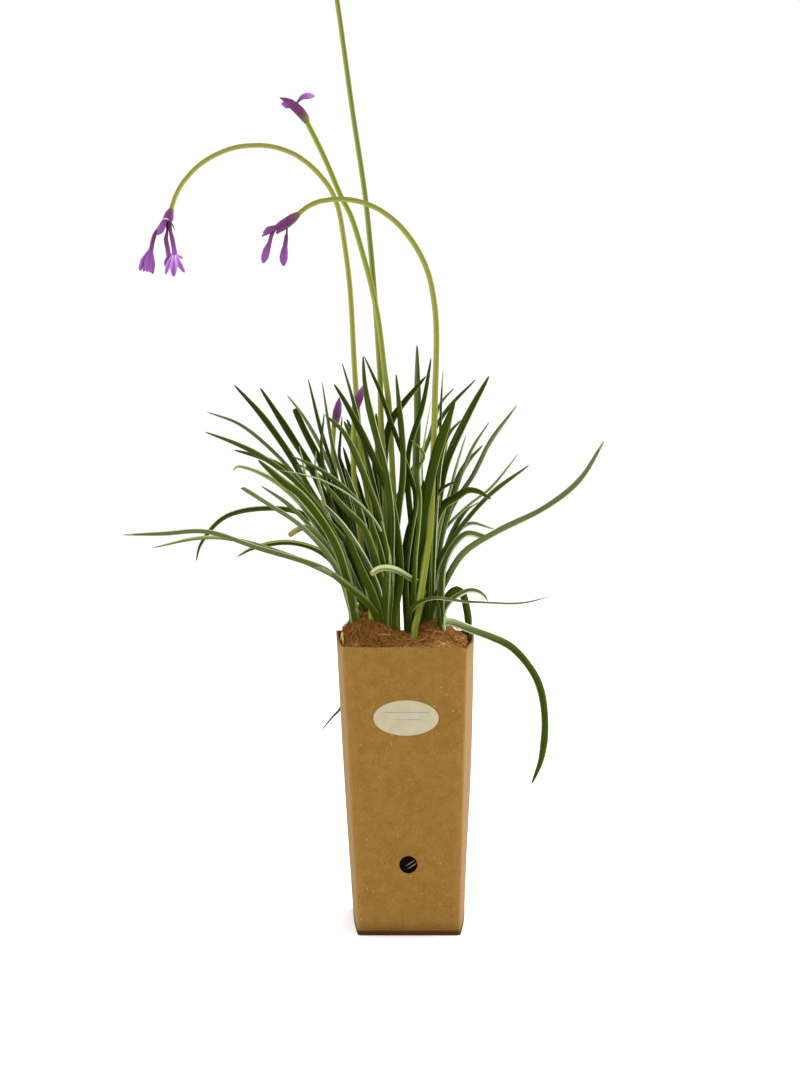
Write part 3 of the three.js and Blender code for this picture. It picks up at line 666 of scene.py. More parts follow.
@dataclass(frozen=True)
class BloomFinish:
    """Mauve parts of the heads: maroon flower stems, spathes, buds and pale petals by their tone."""

    stem: Colour = (62, 30, 34)
    spathe: Colour = (92, 38, 78)
    bud: Colour = (114, 58, 120)
    petal: Colour = (142, 76, 164)
    pale: Colour = (206, 166, 226)
    green: Colour = (108, 104, 30)

    def make(self) -> bpy.types.Material:
        """Set up the finish.

        Returns:
            The material.
        """
        bench = Bench("bloom, mauve")
        across, along, seed = bench.noted("grain").parts()
        tone, veined, greened = bench.noted("look").parts()
        fine = bench.cloud(bench.joined(across * 9.0 + seed * 5.0, along * 60.0, seed * 17.0), 1.0, 3.0)
        blotch = bench.cloud(bench.joined(across * 2.0, along * 160.0, seed * 7.0), 1.0, 2.0)
        shade = tone + (fine - 0.5) * 0.28 + (blotch - 0.5) * 0.18
        middle = (1.0 - abs(across).rises(0.04, 0.22)) * veined
        rim = abs(across).rises(0.55, 1.0) * veined
        shade = shade - middle * 0.22 + rim * 0.12
        colour = bench.ramp(
            shade,
            [(0.0, self.stem), (0.25, self.spathe), (0.5, self.bud), (0.75, self.petal), (1.0, self.pale)],
        )
        colour = bench.blend(greened, colour, self.green)
        return bench.surface(colour, 0.46 + blotch * 0.2, fine, 0.00014, gloss=0.2)


@dataclass(frozen=True)
class KraftFinish:
    """Recycled kraft board: brown with pale and dark fibres, lighter on its rubbed folds, darker at its base,
    with painted side light on its side panels and painted shade on its inside.
    """

    board: Colour = (122, 87, 33)
    light: Colour = (131, 95, 40)
    ruddy: Colour = (118, 82, 30)
    fold: Colour = (156, 123, 72)
    # The paler colour of the painted side light on the side panels.
    side: Colour = (137, 113, 80)
    fibre: Colour = (166, 132, 78)
    speck: Colour = (80, 52, 20)
    fleck: Colour = (208, 180, 134)
    # Dark brown for the darker band at the base and for the painted shade inside.
    dark_brown: Colour = (62, 34, 8)
    fibre_turns: tuple[float, ...] = (0.35, 1.2, 2.3)
    grains_per_metre: float = 240.0
    base_line: float = 0.0042

    def make(self) -> bpy.types.Material:
        """Set up the finish.

        Returns:
            The material.
        """
        bench = Bench("kraft board")
        place = bench.place()
        _, _, height = place.parts()
        clouds = bench.cloud(place, 34.0, 3.0, 0.55)
        patches = bench.cloud(place, 130.0, 3.0, 0.6)
        pulp = bench.cloud(place, 900.0, 3.0, 0.65)
        colour = bench.blend(patches.rises(0.35, 0.68), self.board, self.light)
        colour = bench.blend(clouds.rises(0.48, 0.7) * 0.4, colour, self.ruddy)
        for index, turn in enumerate(self.fibre_turns):
            hairs = bench.cloud(bench.scaled(place, (1500.0, 1500.0, 260.0), turn), 1.0, 1.0, 0.4)
            colour = bench.blend(hairs.rises(0.72, 0.80) * 0.4, colour, self.fibre)
            if index:
                colour = bench.blend((1.0 - hairs.rises(0.20, 0.28)) * 0.4, colour, self.speck)
        inputs = {"Vector": place, "Scale": self.grains_per_metre, "Randomness": 1.0}
        grains = bench.node("ShaderNodeTexVoronoi", None, inputs)
        near = bench.out(grains, "Distance")
        split = bench.node("ShaderNodeSeparateColor", None, {"Color": bench.out(grains, "Color")})
        chance = bench.out(split, 0)
        dots = (1.0 - near.rises(0.10, 0.17)) * chance.rises(0.86, 0.88)
        colour = bench.blend(dots * 0.7, colour, self.speck)
        flecks = (1.0 - near.rises(0.06, 0.16)) * (1.0 - chance.rises(0.20, 0.22))
        colour = bench.blend(flecks * (pulp * 0.8), colour, self.fleck)
        colour = bench.blend(pulp.rises(0.35, 0.75) * 0.26, colour, self.fibre)
        folded, darkened, beside = bench.noted("look").parts()
        colour = bench.blend(folded * (0.15 + pulp * 0.35), colour, self.fold)
        # Painted light: the side panels are paler, as if lit from the sides.
        colour = bench.blend(beside * 0.6, colour, self.side)
        # Darker in the band at the base, and painted shade on the inside of the cover.
        colour = bench.blend(darkened * (0.4 + pulp * 0.5), colour, self.dark_brown)
        # Darker towards the bottom edge.
        base = 1.0 - height.rises(self.base_line * 0.6, self.base_line)
        colour = bench.blend(base * 0.9, colour, self.dark_brown)
        relief = pulp * 0.6 + patches * 0.4
        return bench.surface(colour, 0.78 + pulp * 0.14, relief, 0.00018, gloss=0.12)


@dataclass(frozen=True)
class LabelFinish:
    """Cream sticker paper with two plain ruled lines."""

    paper: Colour = (174, 165, 136)
    shade: Colour = (162, 152, 120)
    ink: Colour = (112, 130, 140)
    upper_line: tuple[float, float, float] = (0.1553, -0.0015, 0.0150)
    lower_line: tuple[float, float, float] = (0.1503, -0.0015, 0.0095)
    line_half: float = 0.0003

    def make(self) -> bpy.types.Material:
        """Set up the finish.

        Returns:
            The material.
        """
        bench = Bench("label paper")
        place = bench.place()
        x, _, z = place.parts()
        pulp = bench.cloud(place, 1400.0, 3.0, 0.6)
        clouds = bench.cloud(place, 120.0, 2.0, 0.5)
        colour = bench.blend(clouds.rises(0.3, 0.7) * 0.6 + pulp * 0.2, self.paper, self.shade)
        for height, middle, half in (self.upper_line, self.lower_line):
            on_line = 1.0 - abs(z - height).rises(self.line_half * 0.7, self.line_half * 1.3)
            within = 1.0 - abs(x - middle).rises(half - 0.0004, half)
            colour = bench.blend(on_line * within * (0.55 + pulp * 0.5), colour, self.ink)
        return bench.surface(colour, 0.62 + pulp * 0.15, pulp, 0.00005)


@dataclass(frozen=True)
class PlasticFinish:
    """Black pot plastic, with two slanting painted glints where the hole shows it."""

    black: Colour = (10, 4, 2)
    worn: Colour = (24, 16, 12)
    painted_glint: Colour = (150, 146, 136)
    hole: tuple[float, float] = (-0.0006, 0.0497)
    slope: tuple[float, float] = (0.55, 0.83)
    painted_glints: tuple[tuple[float, float], ...] = ((0.0002, 0.00018), (0.0026, 0.00022))

    def make(self) -> bpy.types.Material:
        """Set up the finish.

        Returns:
            The material.
        """
        bench = Bench("black pot plastic")
        place = bench.place()
        x, _, z = place.parts()
        scuff = bench.cloud(place, 320.0, 3.0, 0.6)
        colour = bench.blend(scuff.rises(0.5, 0.75) * 0.6, self.black, self.worn)
        right, up = x - self.hole[0], z - self.hole[1]
        cosine, sine = self.slope
        slant = right * cosine - up * sine
        along = right * sine + up * cosine
        within = along.rises(-0.0030, 0.0006) * (1.0 - along.rises(0.0040, 0.0056))
        wander = (scuff - 0.5) * 0.0012
        # Painted glints: pale slanting lines for light caught on the plastic behind the hole.
        for aside, half in self.painted_glints:
            line = 1.0 - abs(slant - aside + wander).rises(half * 0.6, half * 1.6)
            colour = bench.blend(line * within * 0.8, colour, self.painted_glint)
        return bench.surface(colour, 0.30 + scuff * 0.2, scuff, 0.0003, gloss=0.02)


@dataclass(frozen=True)
class SoilFinish:
    """Dark fibrous compost."""

    wet: Colour = (34, 24, 16)
    dry: Colour = (84, 62, 42)

    def make(self) -> bpy.types.Material:
        """Set up the finish.

        Returns:
            The material.
        """
        bench = Bench("compost")
        place = bench.place()
        crumbs = bench.cloud(place, 420.0, 4.0, 0.65)
        lumps = bench.cloud(place, 90.0, 2.0)
        colour = bench.blend((crumbs + (lumps - 0.5) * 0.4).rises(0.4, 0.75), self.wet, self.dry)
        return bench.surface(colour, 0.92, crumbs, 0.0012)


@dataclass(frozen=True)
class CoirFinish:
    """Matted coir: brown, ruddy between the clumps; painted light makes it paler higher up, on the right
    mound and away from the middle, and painted shade darkens the hollows, the middle between the clumps and
    the right back corner.
    """

    deep: Colour = (72, 40, 0)
    brown: Colour = (140, 92, 34)
    pale: Colour = (200, 158, 110)
    ruddy: Colour = (140, 80, 36)
    level: float = 0.204

    def make(self) -> bpy.types.Material:
        """Set up the finish.

        Returns:
            The material.
        """
        bench = Bench("coir mat")
        place = bench.place()
        x, _, height = place.parts()
        first = bench.cloud(bench.scaled(place, (1100.0, 300.0, 500.0), 0.6), 1.0, 3.0, 0.6)
        second = bench.cloud(bench.scaled(place, (300.0, 1100.0, 500.0), 1.5), 1.0, 3.0, 0.6)
        lumps = bench.cloud(place, 85.0, 2.0)
        hairs = bench.maths("MAXIMUM", first, second)
        mound = x.rises(0.008, 0.016) * (1.0 - x.rises(0.026, 0.032))
        # Painted light and shade: paler higher up, on the right mound and away from the middle between the
        # clumps, darker in the hollows.
        rise = (height - self.level) * 9.0 + mound * 0.26 + abs(x + 0.006) * 9.0
        colour = bench.ramp(
            hairs * 0.6 + 0.12 + (lumps - 0.5) * 1.2 + rise,
            [(0.42, self.deep), (0.60, self.brown), (0.80, self.pale)],
        )
        between = 1.0 - abs(x + 0.003).rises(0.008, 0.026)
        colour = bench.blend(between * 0.4, colour, self.ruddy)
        # Painted shade in the right back corner.
        colour = bench.blend(x.rises(0.027, 0.033) * 0.6, colour, self.deep)
        return bench.surface(colour, 0.9, hairs, 0.0009, gloss=0.05)


@dataclass(frozen=True)
class FibreFinish:
    """Loose coir fibres, dark to straw by their tone."""

    dark: Colour = (92, 54, 8)
    brown: Colour = (156, 106, 48)
    straw: Colour = (206, 160, 100)

    def make(self) -> bpy.types.Material:
        """Set up the finish.

        Returns:
            The material.
        """
        bench = Bench("coir fibre")
        _, along, seed = bench.noted("grain").parts()
        tone, _, _ = bench.noted("look").parts()
        mottle = bench.cloud(bench.joined(seed * 9.0, along * 300.0, 0.0), 1.0, 2.0)
        colour = bench.ramp(
            tone + (mottle - 0.5) * 0.4, [(0.0, self.dark), (0.5, self.brown), (1.0, self.straw)]
        )
        return bench.surface(colour, 0.78 + mottle * 0.1, gloss=0.05)


@dataclass(frozen=True)
class FloorFinish:
    """Plain pale studio floor."""

    floor: Colour = (254, 254, 253)
    shade: Colour = (252, 252, 251)

    def make(self) -> bpy.types.Material:
        """Set up the finish.

        Returns:
            The material.
        """
        bench = Bench("studio floor")
        clouds = bench.cloud(bench.place(), 3.0, 2.0)
        return bench.surface(bench.blend(clouds, self.floor, self.shade), 0.9)


# Pot cover and what fills it


@dataclass
class PotShape:
    """The four-sided tapered outline that the cover and its filling share."""

    height: float = 0.200
    wall: float = 0.0012
    fold_radius: float = 0.002
    bow_at_ends: float = 0.0010
    bow_between: float = 0.0018
    bow_right: float = 0.0014
    base_front: float = 0.070
    base_back: float = 0.080
    base_depth: float = 0.072
    top_front: float = 0.085
    top_back: float = 0.098
    top_depth: float = 0.090
    top_shift: float = -0.0032

    def halves(self, z: float, inset: float = 0.0) -> tuple[float, float, float, float]:
        """Measure the outline at a height.

        Args:
            z: The height.
            inset: How far inside the cover's face it runs.

        Returns:
            Half its front, half its back, half its depth, and how far its middle stands to the right.
        """
        t = z / self.height
        front = mix(self.base_front, self.top_front, t) / 2 - inset
        back = mix(self.base_back, self.top_back, t) / 2 - inset
        depth = mix(self.base_depth, self.top_depth, t) / 2 - inset
        return front, back, depth, mix(0.0, self.top_shift, t)

    def outline(self, z: float, per_fold: int, per_panel: int) -> list[Vector]:
        """Trace the outline at a height.

        Args:
            z: The height.
            per_fold: How many stretches each round fold has.
            per_panel: How many stretches each panel has between its folds.

        Returns:
            The points, counter-clockwise from the front left fold.
        """
        t = z / self.height
        front, back, depth, shift = self.halves(z)
        radius = self.fold_radius
        bulge = mix(self.bow_at_ends, self.bow_between, math.sin(math.pi * t))
        extra = self.bow_right * smooth((t - 0.15) / 0.5)
        corners = [(-front, -depth), (front, -depth), (back, depth), (-back, depth)]
        points = []
        for index, (x, y) in enumerate(corners):
            next_x, next_y = corners[(index + 1) % 4]
            start = -math.pi + index * math.pi / 2
            in_x = x - math.copysign(radius, x)
            in_y = y - math.copysign(radius, y)
            for part in range(per_fold + 1):
                angle = start + part / per_fold * math.pi / 2
                points.append((in_x + radius * math.cos(angle), in_y + radius * math.sin(angle)))
            for part in range(1, per_panel):
                share = part / per_panel
                bow = bulge * (index % 2) + extra * (index == 1)
                swell = bow * math.sin(math.pi * share)
                points.append((mix(x, next_x, share) + math.copysign(swell, x), mix(y, next_y, share)))
        return [Vector((x + shift, y, z)) for x, y in points]

    def front_panel(self, z: float) -> float:
        """Return the y of the front panel's face at a height."""
        return -self.halves(z)[2]


@dataclass
class Carton:
    """The folded kraft-board cover, with its round hole, wavy rim and worn folds."""

    shape: PotShape
    hole_x: float = -0.0006
    hole_z: float = 0.0497
    hole_radius: float = 0.0062
    hole_sides: int = 48
    levels: int = 20
    per_fold: int = 4
    per_panel: int = 10
    rim_height: float = 0.004
    rim_wave: float = 0.0006
    waves_per_metre: float = 70.0
    rim_tear: float = 0.0001
    tears_per_metre: float = 400.0
    notch_depth: float = 0.0026
    notch_spread: float = 0.0022
    bottom_edge: float = 0.0020
    rubbed: float = 0.0012
    rubbed_fade: float = 0.0016
    # How strong the painted shade on the inside of the cover is.
    inside_shade: float = 0.55
    smooth_below: float = math.radians(40.0)

    def build(self) -> bpy.types.Object:
        """Model and dress the cover.

        Returns:
            The piece.
        """
        corners = 4 * (self.per_fold + self.per_panel)
        step = self.shape.height / self.levels
        select_only(None)
        radius = self.shape.base_front / 2
        bpy.ops.mesh.primitive_circle_add(vertices=corners, radius=radius, fill_type="NOTHING")
        board = bpy.context.active_object
        board.name = "kraft_cover"
        board.data.name = "kraft_cover"
        bpy.ops.object.mode_set(mode="EDIT")
        bpy.ops.mesh.select_mode(type="EDGE")
        bpy.ops.mesh.select_all(action="SELECT")
        for _ in range(self.levels):
            bpy.ops.mesh.extrude_edges_move(TRANSFORM_OT_translate={"value": (0.0, 0.0, step)})
        bpy.ops.mesh.select_mode(type="VERT")
        bpy.ops.mesh.select_all(action="DESELECT")
        bpy.ops.object.mode_set(mode="OBJECT")
        for corner in board.data.vertices:
            corner.select = corner.co.z < step / 2
        self._follow_outline(board)
        bpy.ops.object.mode_set(mode="EDIT")
        bpy.ops.mesh.edge_face_add()
        bpy.ops.mesh.select_all(action="SELECT")
        bpy.ops.mesh.normals_make_consistent(inside=False)
        bpy.ops.object.mode_set(mode="OBJECT")
        thick = board.modifiers.new("board", "SOLIDIFY")
        thick.thickness = self.shape.wall
        thick.offset = -1.0
        thick.use_even_offset = True
        apply_modifiers(board)
        self._cut_hole(board)
        self._wave_rim(board)
        self._note_wear_and_painted_light(board)
        select_only(board)
        bpy.ops.object.shade_smooth_by_angle(angle=self.smooth_below)
        return dressed(board, KraftFinish().make(), ["carton"])

    def _follow_outline(self, board: bpy.types.Object) -> None:
        """Move each level's corners onto the cover's outline.

        Args:
            board: The shell of levels.
        """
        step = self.shape.height / self.levels
        lines = [
            self.shape.outline(level * step, self.per_fold, self.per_panel)
            for level in range(self.levels + 1)
        ]
        count = len(lines[0])
        for corner in board.data.vertices:
            turn = math.atan2(corner.co.y, corner.co.x) / (2 * math.pi) * count
            corner.co = lines[round(corner.co.z / step)][(round(turn) + count // 2) % count]

    def _cut_hole(self, board: bpy.types.Object) -> None:
        """Cut the round hole through the front panel.

        Args:
            board: The cover.
        """
        select_only(None)
        bpy.ops.mesh.primitive_cylinder_add(
            vertices=self.hole_sides,
            radius=self.hole_radius,
            depth=10 * self.shape.wall,
            location=(self.hole_x, self.shape.front_panel(self.hole_z), self.hole_z),
            rotation=(math.pi / 2, 0.0, 0.0),
        )
        punch = bpy.context.active_object
        bpy.ops.object.transform_apply(location=True, rotation=True, scale=True)
        cut = board.modifiers.new("hole", "BOOLEAN")
        cut.operation = "DIFFERENCE"
        cut.solver = "EXACT"
        cut.object = punch
        apply_modifiers(board)
        bpy.data.objects.remove(punch)

    def _wave_rim(self, board: bpy.types.Object) -> None:
        """Let the rim rise and fall a little, and open it at the front right fold.

        Args:
            board: The cover.
        """
        low = self.shape.height - self.rim_height
        fold = Vector((self.shape.top_front / 2 + self.shape.top_shift, -self.shape.top_depth / 2))
        for corner in board.data.vertices:
            place = corner.co
            weight = smooth((place.z - low) / self.rim_height)
            if weight <= 0.0:
                continue
            x, y, _ = place * self.waves_per_metre
            wave = noise.noise(Vector((x, y, 3.7)))
            x, y, _ = place * self.tears_per_metre
            torn = noise.noise(Vector((x, y, 9.1)))
            place.z += weight * (self.rim_wave * (wave - 0.6) + self.rim_tear * (torn - 0.5))
            away = (Vector((place.x, place.y)) - fold).length
            place.z -= weight * self.notch_depth * math.exp(-((away / self.notch_spread) ** 2))

    def _note_wear_and_painted_light(self, board: bpy.types.Object) -> None:
        """Note on the mesh where the folds are rubbed, where it is darker at the base, where the inside gets
        painted shade and which side panels get painted side light.

        Args:
            board: The cover.
        """
        looks = []
        for corner in board.data.vertices:
            place = corner.co
            front, back, depth, shift = self.shape.halves(place.z)
            beside = mix(front, back, (place.y / depth + 1.0) / 2) - abs(place.x - shift)
            away = math.hypot(beside, depth - abs(place.y))
            fold = 1.0 - smooth((away - self.rubbed) / self.rubbed_fade)
            # Darker in a band at the bottom.
            darkened = 1.0 - smooth((place.z - self.bottom_edge * 0.4) / self.bottom_edge)
            facing = corner.normal.dot(Vector((place.x - shift, place.y, 0.0)).normalized())
            # Painted shade on the inner faces of the cover.
            inside = smooth(facing * -2.0) * self.inside_shade
            # The side panels, facing out to the left and right, get the painted side light.
            side = smooth((abs(corner.normal.x) - 0.8) / 0.15) * smooth(facing * 4.0)
            looks.append((fold, max(darkened, inside), side))
        note = board.data.attributes.new("look", "FLOAT_VECTOR", "POINT")
        note.data.foreach_set("vector", np.array(looks, dtype=np.float32).ravel())


@dataclass
class Label:
    """The oval sticker on the front panel, left without words."""

    shape: PotShape
    x: float = -0.0022
    z: float = 0.1514
    width: float = 0.0440
    height: float = 0.0243
    thick: float = 0.0003
    gap: float = 0.0001
    rim: float = 0.0004
    slope_width: float = 0.0030
    dome: float = 0.00006
    edge_round: float = 0.00008
    sides: int = 96
    smooth_below: float = math.radians(35.0)

    def build(self) -> bpy.types.Object:
        """Model and dress the sticker.

        Returns:
            The piece.
        """
        select_only(None)
        bpy.ops.mesh.primitive_circle_add(vertices=self.sides, radius=0.5, fill_type="NGON")
        sticker = bpy.context.active_object
        sticker.name = "oval_label"
        sticker.data.name = "oval_label"
        sticker.scale = (self.width, self.height, 1.0)
        bpy.ops.object.transform_apply(location=False, rotation=False, scale=True)
        bpy.ops.object.mode_set(mode="EDIT")
        bpy.ops.mesh.select_all(action="SELECT")
        bpy.ops.mesh.inset(thickness=self.rim, depth=0.0)
        bpy.ops.mesh.inset(thickness=self.slope_width, depth=self.dome)
        bpy.ops.object.mode_set(mode="OBJECT")
        slope = math.atan((self.shape.top_depth - self.shape.base_depth) / 2 / self.shape.height)
        y = self.shape.front_panel(self.z) - self.thick - self.gap
        stand = Matrix.Translation((self.x, y, self.z))
        sticker.data.transform(stand @ Matrix.Rotation(math.pi / 2 + slope, 4, "X"))
        paper = sticker.modifiers.new("paper", "SOLIDIFY")
        paper.thickness = self.thick
        paper.offset = -1.0
        edge = sticker.modifiers.new("edge", "BEVEL")
        edge.width = self.edge_round
        edge.segments = 2
        apply_modifiers(sticker)
        bpy.ops.object.shade_smooth_by_angle(angle=self.smooth_below)
        return dressed(sticker, LabelFinish().make(), ["label"])


@dataclass(frozen=True)
class Mound:
    """A heap of coir round a clump."""

    x: float
    y: float
    rise: float
    spread: float


MOUNDS = (
    Mound(-0.033, -0.003, 0.0180, 0.012),
    Mound(-0.019, -0.015, 0.0095, 0.010),
    Mound(0.019, -0.002, 0.0160, 0.012),
    Mound(-0.006, 0.002, 0.0030, 0.015),
    Mound(0.036, 0.030, -0.0035, 0.012),
)
MAT_EDGE = 0.196


def mat_height(x: float, y: float) -> float:
    """Find the height of the coir's surface, without its lumps.

    Args:
        x: The place across.
        y: The place back.

    Returns:
        The height.
    """
    rise = 0.0
    for mound in MOUNDS:
        square = (x - mound.x) ** 2 + (y - mound.y) ** 2
        rise += mound.rise * math.exp(-square / (2 * mound.spread**2))
    return MAT_EDGE + rise


@dataclass
class CoirMulch:
    """The fibre mat that closes the pot, with its loose fibres."""

    shape: PotShape
    underside: float = 0.190
    cells: int = 84
    wall_gap: float = 0.0017
    edge_width: float = 0.06
    edge_drop: float = 0.0015
    rough: float = 0.0011
    lumps_per_metre: float = 260.0
    fibres: int = 3000
    fibre_seed: int = 41
    fibre_radius: float = 0.00016
    fibre_gap: float = 0.0024
    fibre_reach: float = 0.97
    fibre_lift: float = 0.0002
    fibre_length: tuple[float, float] = (0.006, 0.020)
    fibre_curl: float = 2.2
    fibre_wander: float = 0.18
    hop: float = 0.0010
    high_hop: float = 0.002
    high_hops: float = 0.06
    on_mounds: float = 0.55
    mound_choice: tuple[int, ...] = (0, 0, 1, 2, 2, 3)

    def spot(self, u: float, w: float, z: float, gap: float) -> tuple[float, float]:
        """Return the place at shares across and back, from minus one to one, a gap inside the cover."""
        front, back, depth, shift = self.shape.halves(z, gap)
        return u * mix(front, back, (w + 1.0) / 2) + shift, w * depth

    def build(self) -> list[bpy.types.Object]:
        """Model and dress the mat and its loose fibres.

        Returns:
            The two pieces.
        """
        select_only(None)
        bpy.ops.mesh.primitive_grid_add(x_subdivisions=self.cells, y_subdivisions=self.cells, size=2.0)
        mat = bpy.context.active_object
        mat.name = "coir_mulch"
        mat.data.name = "coir_mulch"
        bpy.ops.object.mode_set(mode="EDIT")
        bpy.ops.mesh.select_all(action="SELECT")
        bpy.ops.mesh.extrude_region_move(TRANSFORM_OT_translate={"value": (0.0, 0.0, 1.0)})
        bpy.ops.mesh.select_all(action="SELECT")
        bpy.ops.mesh.normals_make_consistent(inside=False)
        bpy.ops.object.mode_set(mode="OBJECT")
        for corner in mat.data.vertices:
            u, w, top = corner.co
            if top < 0.5:
                corner.co = (*self.spot(u, w, self.underside, self.wall_gap), self.underside)
                continue
            x, y = self.spot(u, w, MAT_EDGE, self.wall_gap)
            inside = smooth((1.0 - max(abs(u), abs(w))) / self.edge_width)
            drop = self.edge_drop * (1.0 - inside)
            corner.co = (x, y, mat_height(x, y) - drop + self._roughness(x, y) * inside)
        select_only(mat)
        bpy.ops.object.shade_smooth()
        dressed(mat, CoirFinish().make(), ["coir_mat"])
        return [mat, self._strew()]

    def _roughness(self, x: float, y: float) -> float:
        """Return how far the mat's lumps raise a place."""
        place = Vector((x * self.lumps_per_metre, y * self.lumps_per_metre, 0.0))
        return self.rough * noise.fractal(place, 0.9, 2.1, 4)

    def _strew(self) -> bpy.types.Object:
        """Strew the loose fibres over the mat, and let some stand up at the mounds.

        Returns:
            The piece.
        """
        chance = random.Random(self.fibre_seed)
        blank = Blank(3, 7)
        bundle = Bundle()
        for _ in range(self.fibres):
            if chance.random() < self.on_mounds:
                mound = MOUNDS[chance.choice(self.mound_choice)]
                x = mound.x + chance.gauss(0.0, mound.spread * 0.9)
                y = mound.y + chance.gauss(0.0, mound.spread * 0.9)
            else:
                u = chance.uniform(-self.fibre_reach, self.fibre_reach)
                w = chance.uniform(-self.fibre_reach, self.fibre_reach)
                x, y = self.spot(u, w, MAT_EDGE, self.wall_gap)
            length = chance.uniform(*self.fibre_length)
            heading = chance.uniform(0.0, 2 * math.pi)
            curl = chance.gauss(0.0, self.fibre_curl)
            hop = abs(chance.gauss(0.0, self.hop))
            if chance.random() < self.high_hops:
                hop += self.high_hop
            middles = []
            parts = len(blank.shares) - 1
            for share in blank.shares:
                x, y = self._kept_inside(x, y)
                lift = self.fibre_lift + math.sin(math.pi * share) * hop
                middles.append((x, y, mat_height(x, y) + self._roughness(x, y) * 0.7 + lift))
                x += math.cos(heading) * length / parts
                y += math.sin(heading) * length / parts
                heading += curl / parts + chance.gauss(0.0, self.fibre_wander)
            middles = np.array(middles)
            along = unit(np.gradient(middles, axis=0))
            flats = unit(np.cross(along, (0.0, 0.0, 1.0)))
            ups = np.cross(flats, along)
            radius = self.fibre_radius * chance.uniform(0.6, 1.4)
            sizes = radius * (1.0 - 0.6 * np.abs(blank.shares * 2 - 1) ** 3)
            course = Course(middles, flats, ups, sizes, sizes, np.zeros(len(sizes)))
            tone = min(1.0, max(0.0, chance.gauss(0.45 + x * 3.0, 0.22)))
            looks = np.tile((tone, 0.0, 0.0), (len(sizes), 1))
            bundle.add(blank, course, looks, length, chance.random())
        return bundle.made("coir_fibres", FibreFinish().make(), [])

    def _kept_inside(self, x: float, y: float) -> tuple[float, float]:
        """Hold a fibre's point inside the cover's walls.

        Args:
            x: Where it would go across.
            y: Where it would go back.

        Returns:
            Where it goes.
        """
        depth = self.shape.top_depth / 2 - self.fibre_gap
        y = max(-depth, min(depth, y))
        left = self.spot(-1.0, y / depth, MAT_EDGE, self.fibre_gap)[0]
        right = self.spot(1.0, y / depth, MAT_EDGE, self.fibre_gap)[0]
        return max(left, min(right, x)), y


# Leaves


class Tip(Enum):
    """How a blade ends: its width at the tip, where along it is full, and its width at the foot."""

    POINTED = (0.06, 0.17, 1.06)
    BLUNT = (0.70, 0.035, 1.06)
    PETAL = (0.05, 0.50, 0.42)
    BROAD_PETAL = (0.10, 0.42, 0.46)

    def width(self, shares: np.ndarray) -> np.ndarray:
        """Find how wide the blade is along its length.

        Args:
            shares: Shares of its length, from the tip.

        Returns:
            The share of its full width at each.
        """
        tip, full, foot = self.value
        rising = tip + (1.0 - tip) * np.sqrt(np.clip(shares / full, 0.0, 1.0))
        falling = 1.0 + (foot - 1.0) * np.clip((shares - full) / (1.0 - full), 0.0, 1.0)
        return np.where(shares < full, rising, falling)


@dataclass(frozen=True)
class Leaf:
    """A blade as the photograph shows it: its midrib, tip first, and how it is turned and coloured."""

    lean: float
    width: float
    turn: float
    seen: tuple[Pixel, ...]
    tone: float = 0.45
    cream: float = 0.12
    dry: float = 0.0
    tip: Tip = Tip.POINTED
    pale_foot: float = 0.0


@dataclass(frozen=True)
class RearLeaf:
    """A blade that the photograph hides: its heading, its tilt from upright and its length."""

    heading: float
    start: float
    bend: float
    length: float
    width: float = 0.006
    turn: float = 12.0
    tone: float = 0.4
    cream: float = 0.14
    dry: float = 0.0
    tip: Tip = Tip.POINTED
    pale_foot: float = 0.0


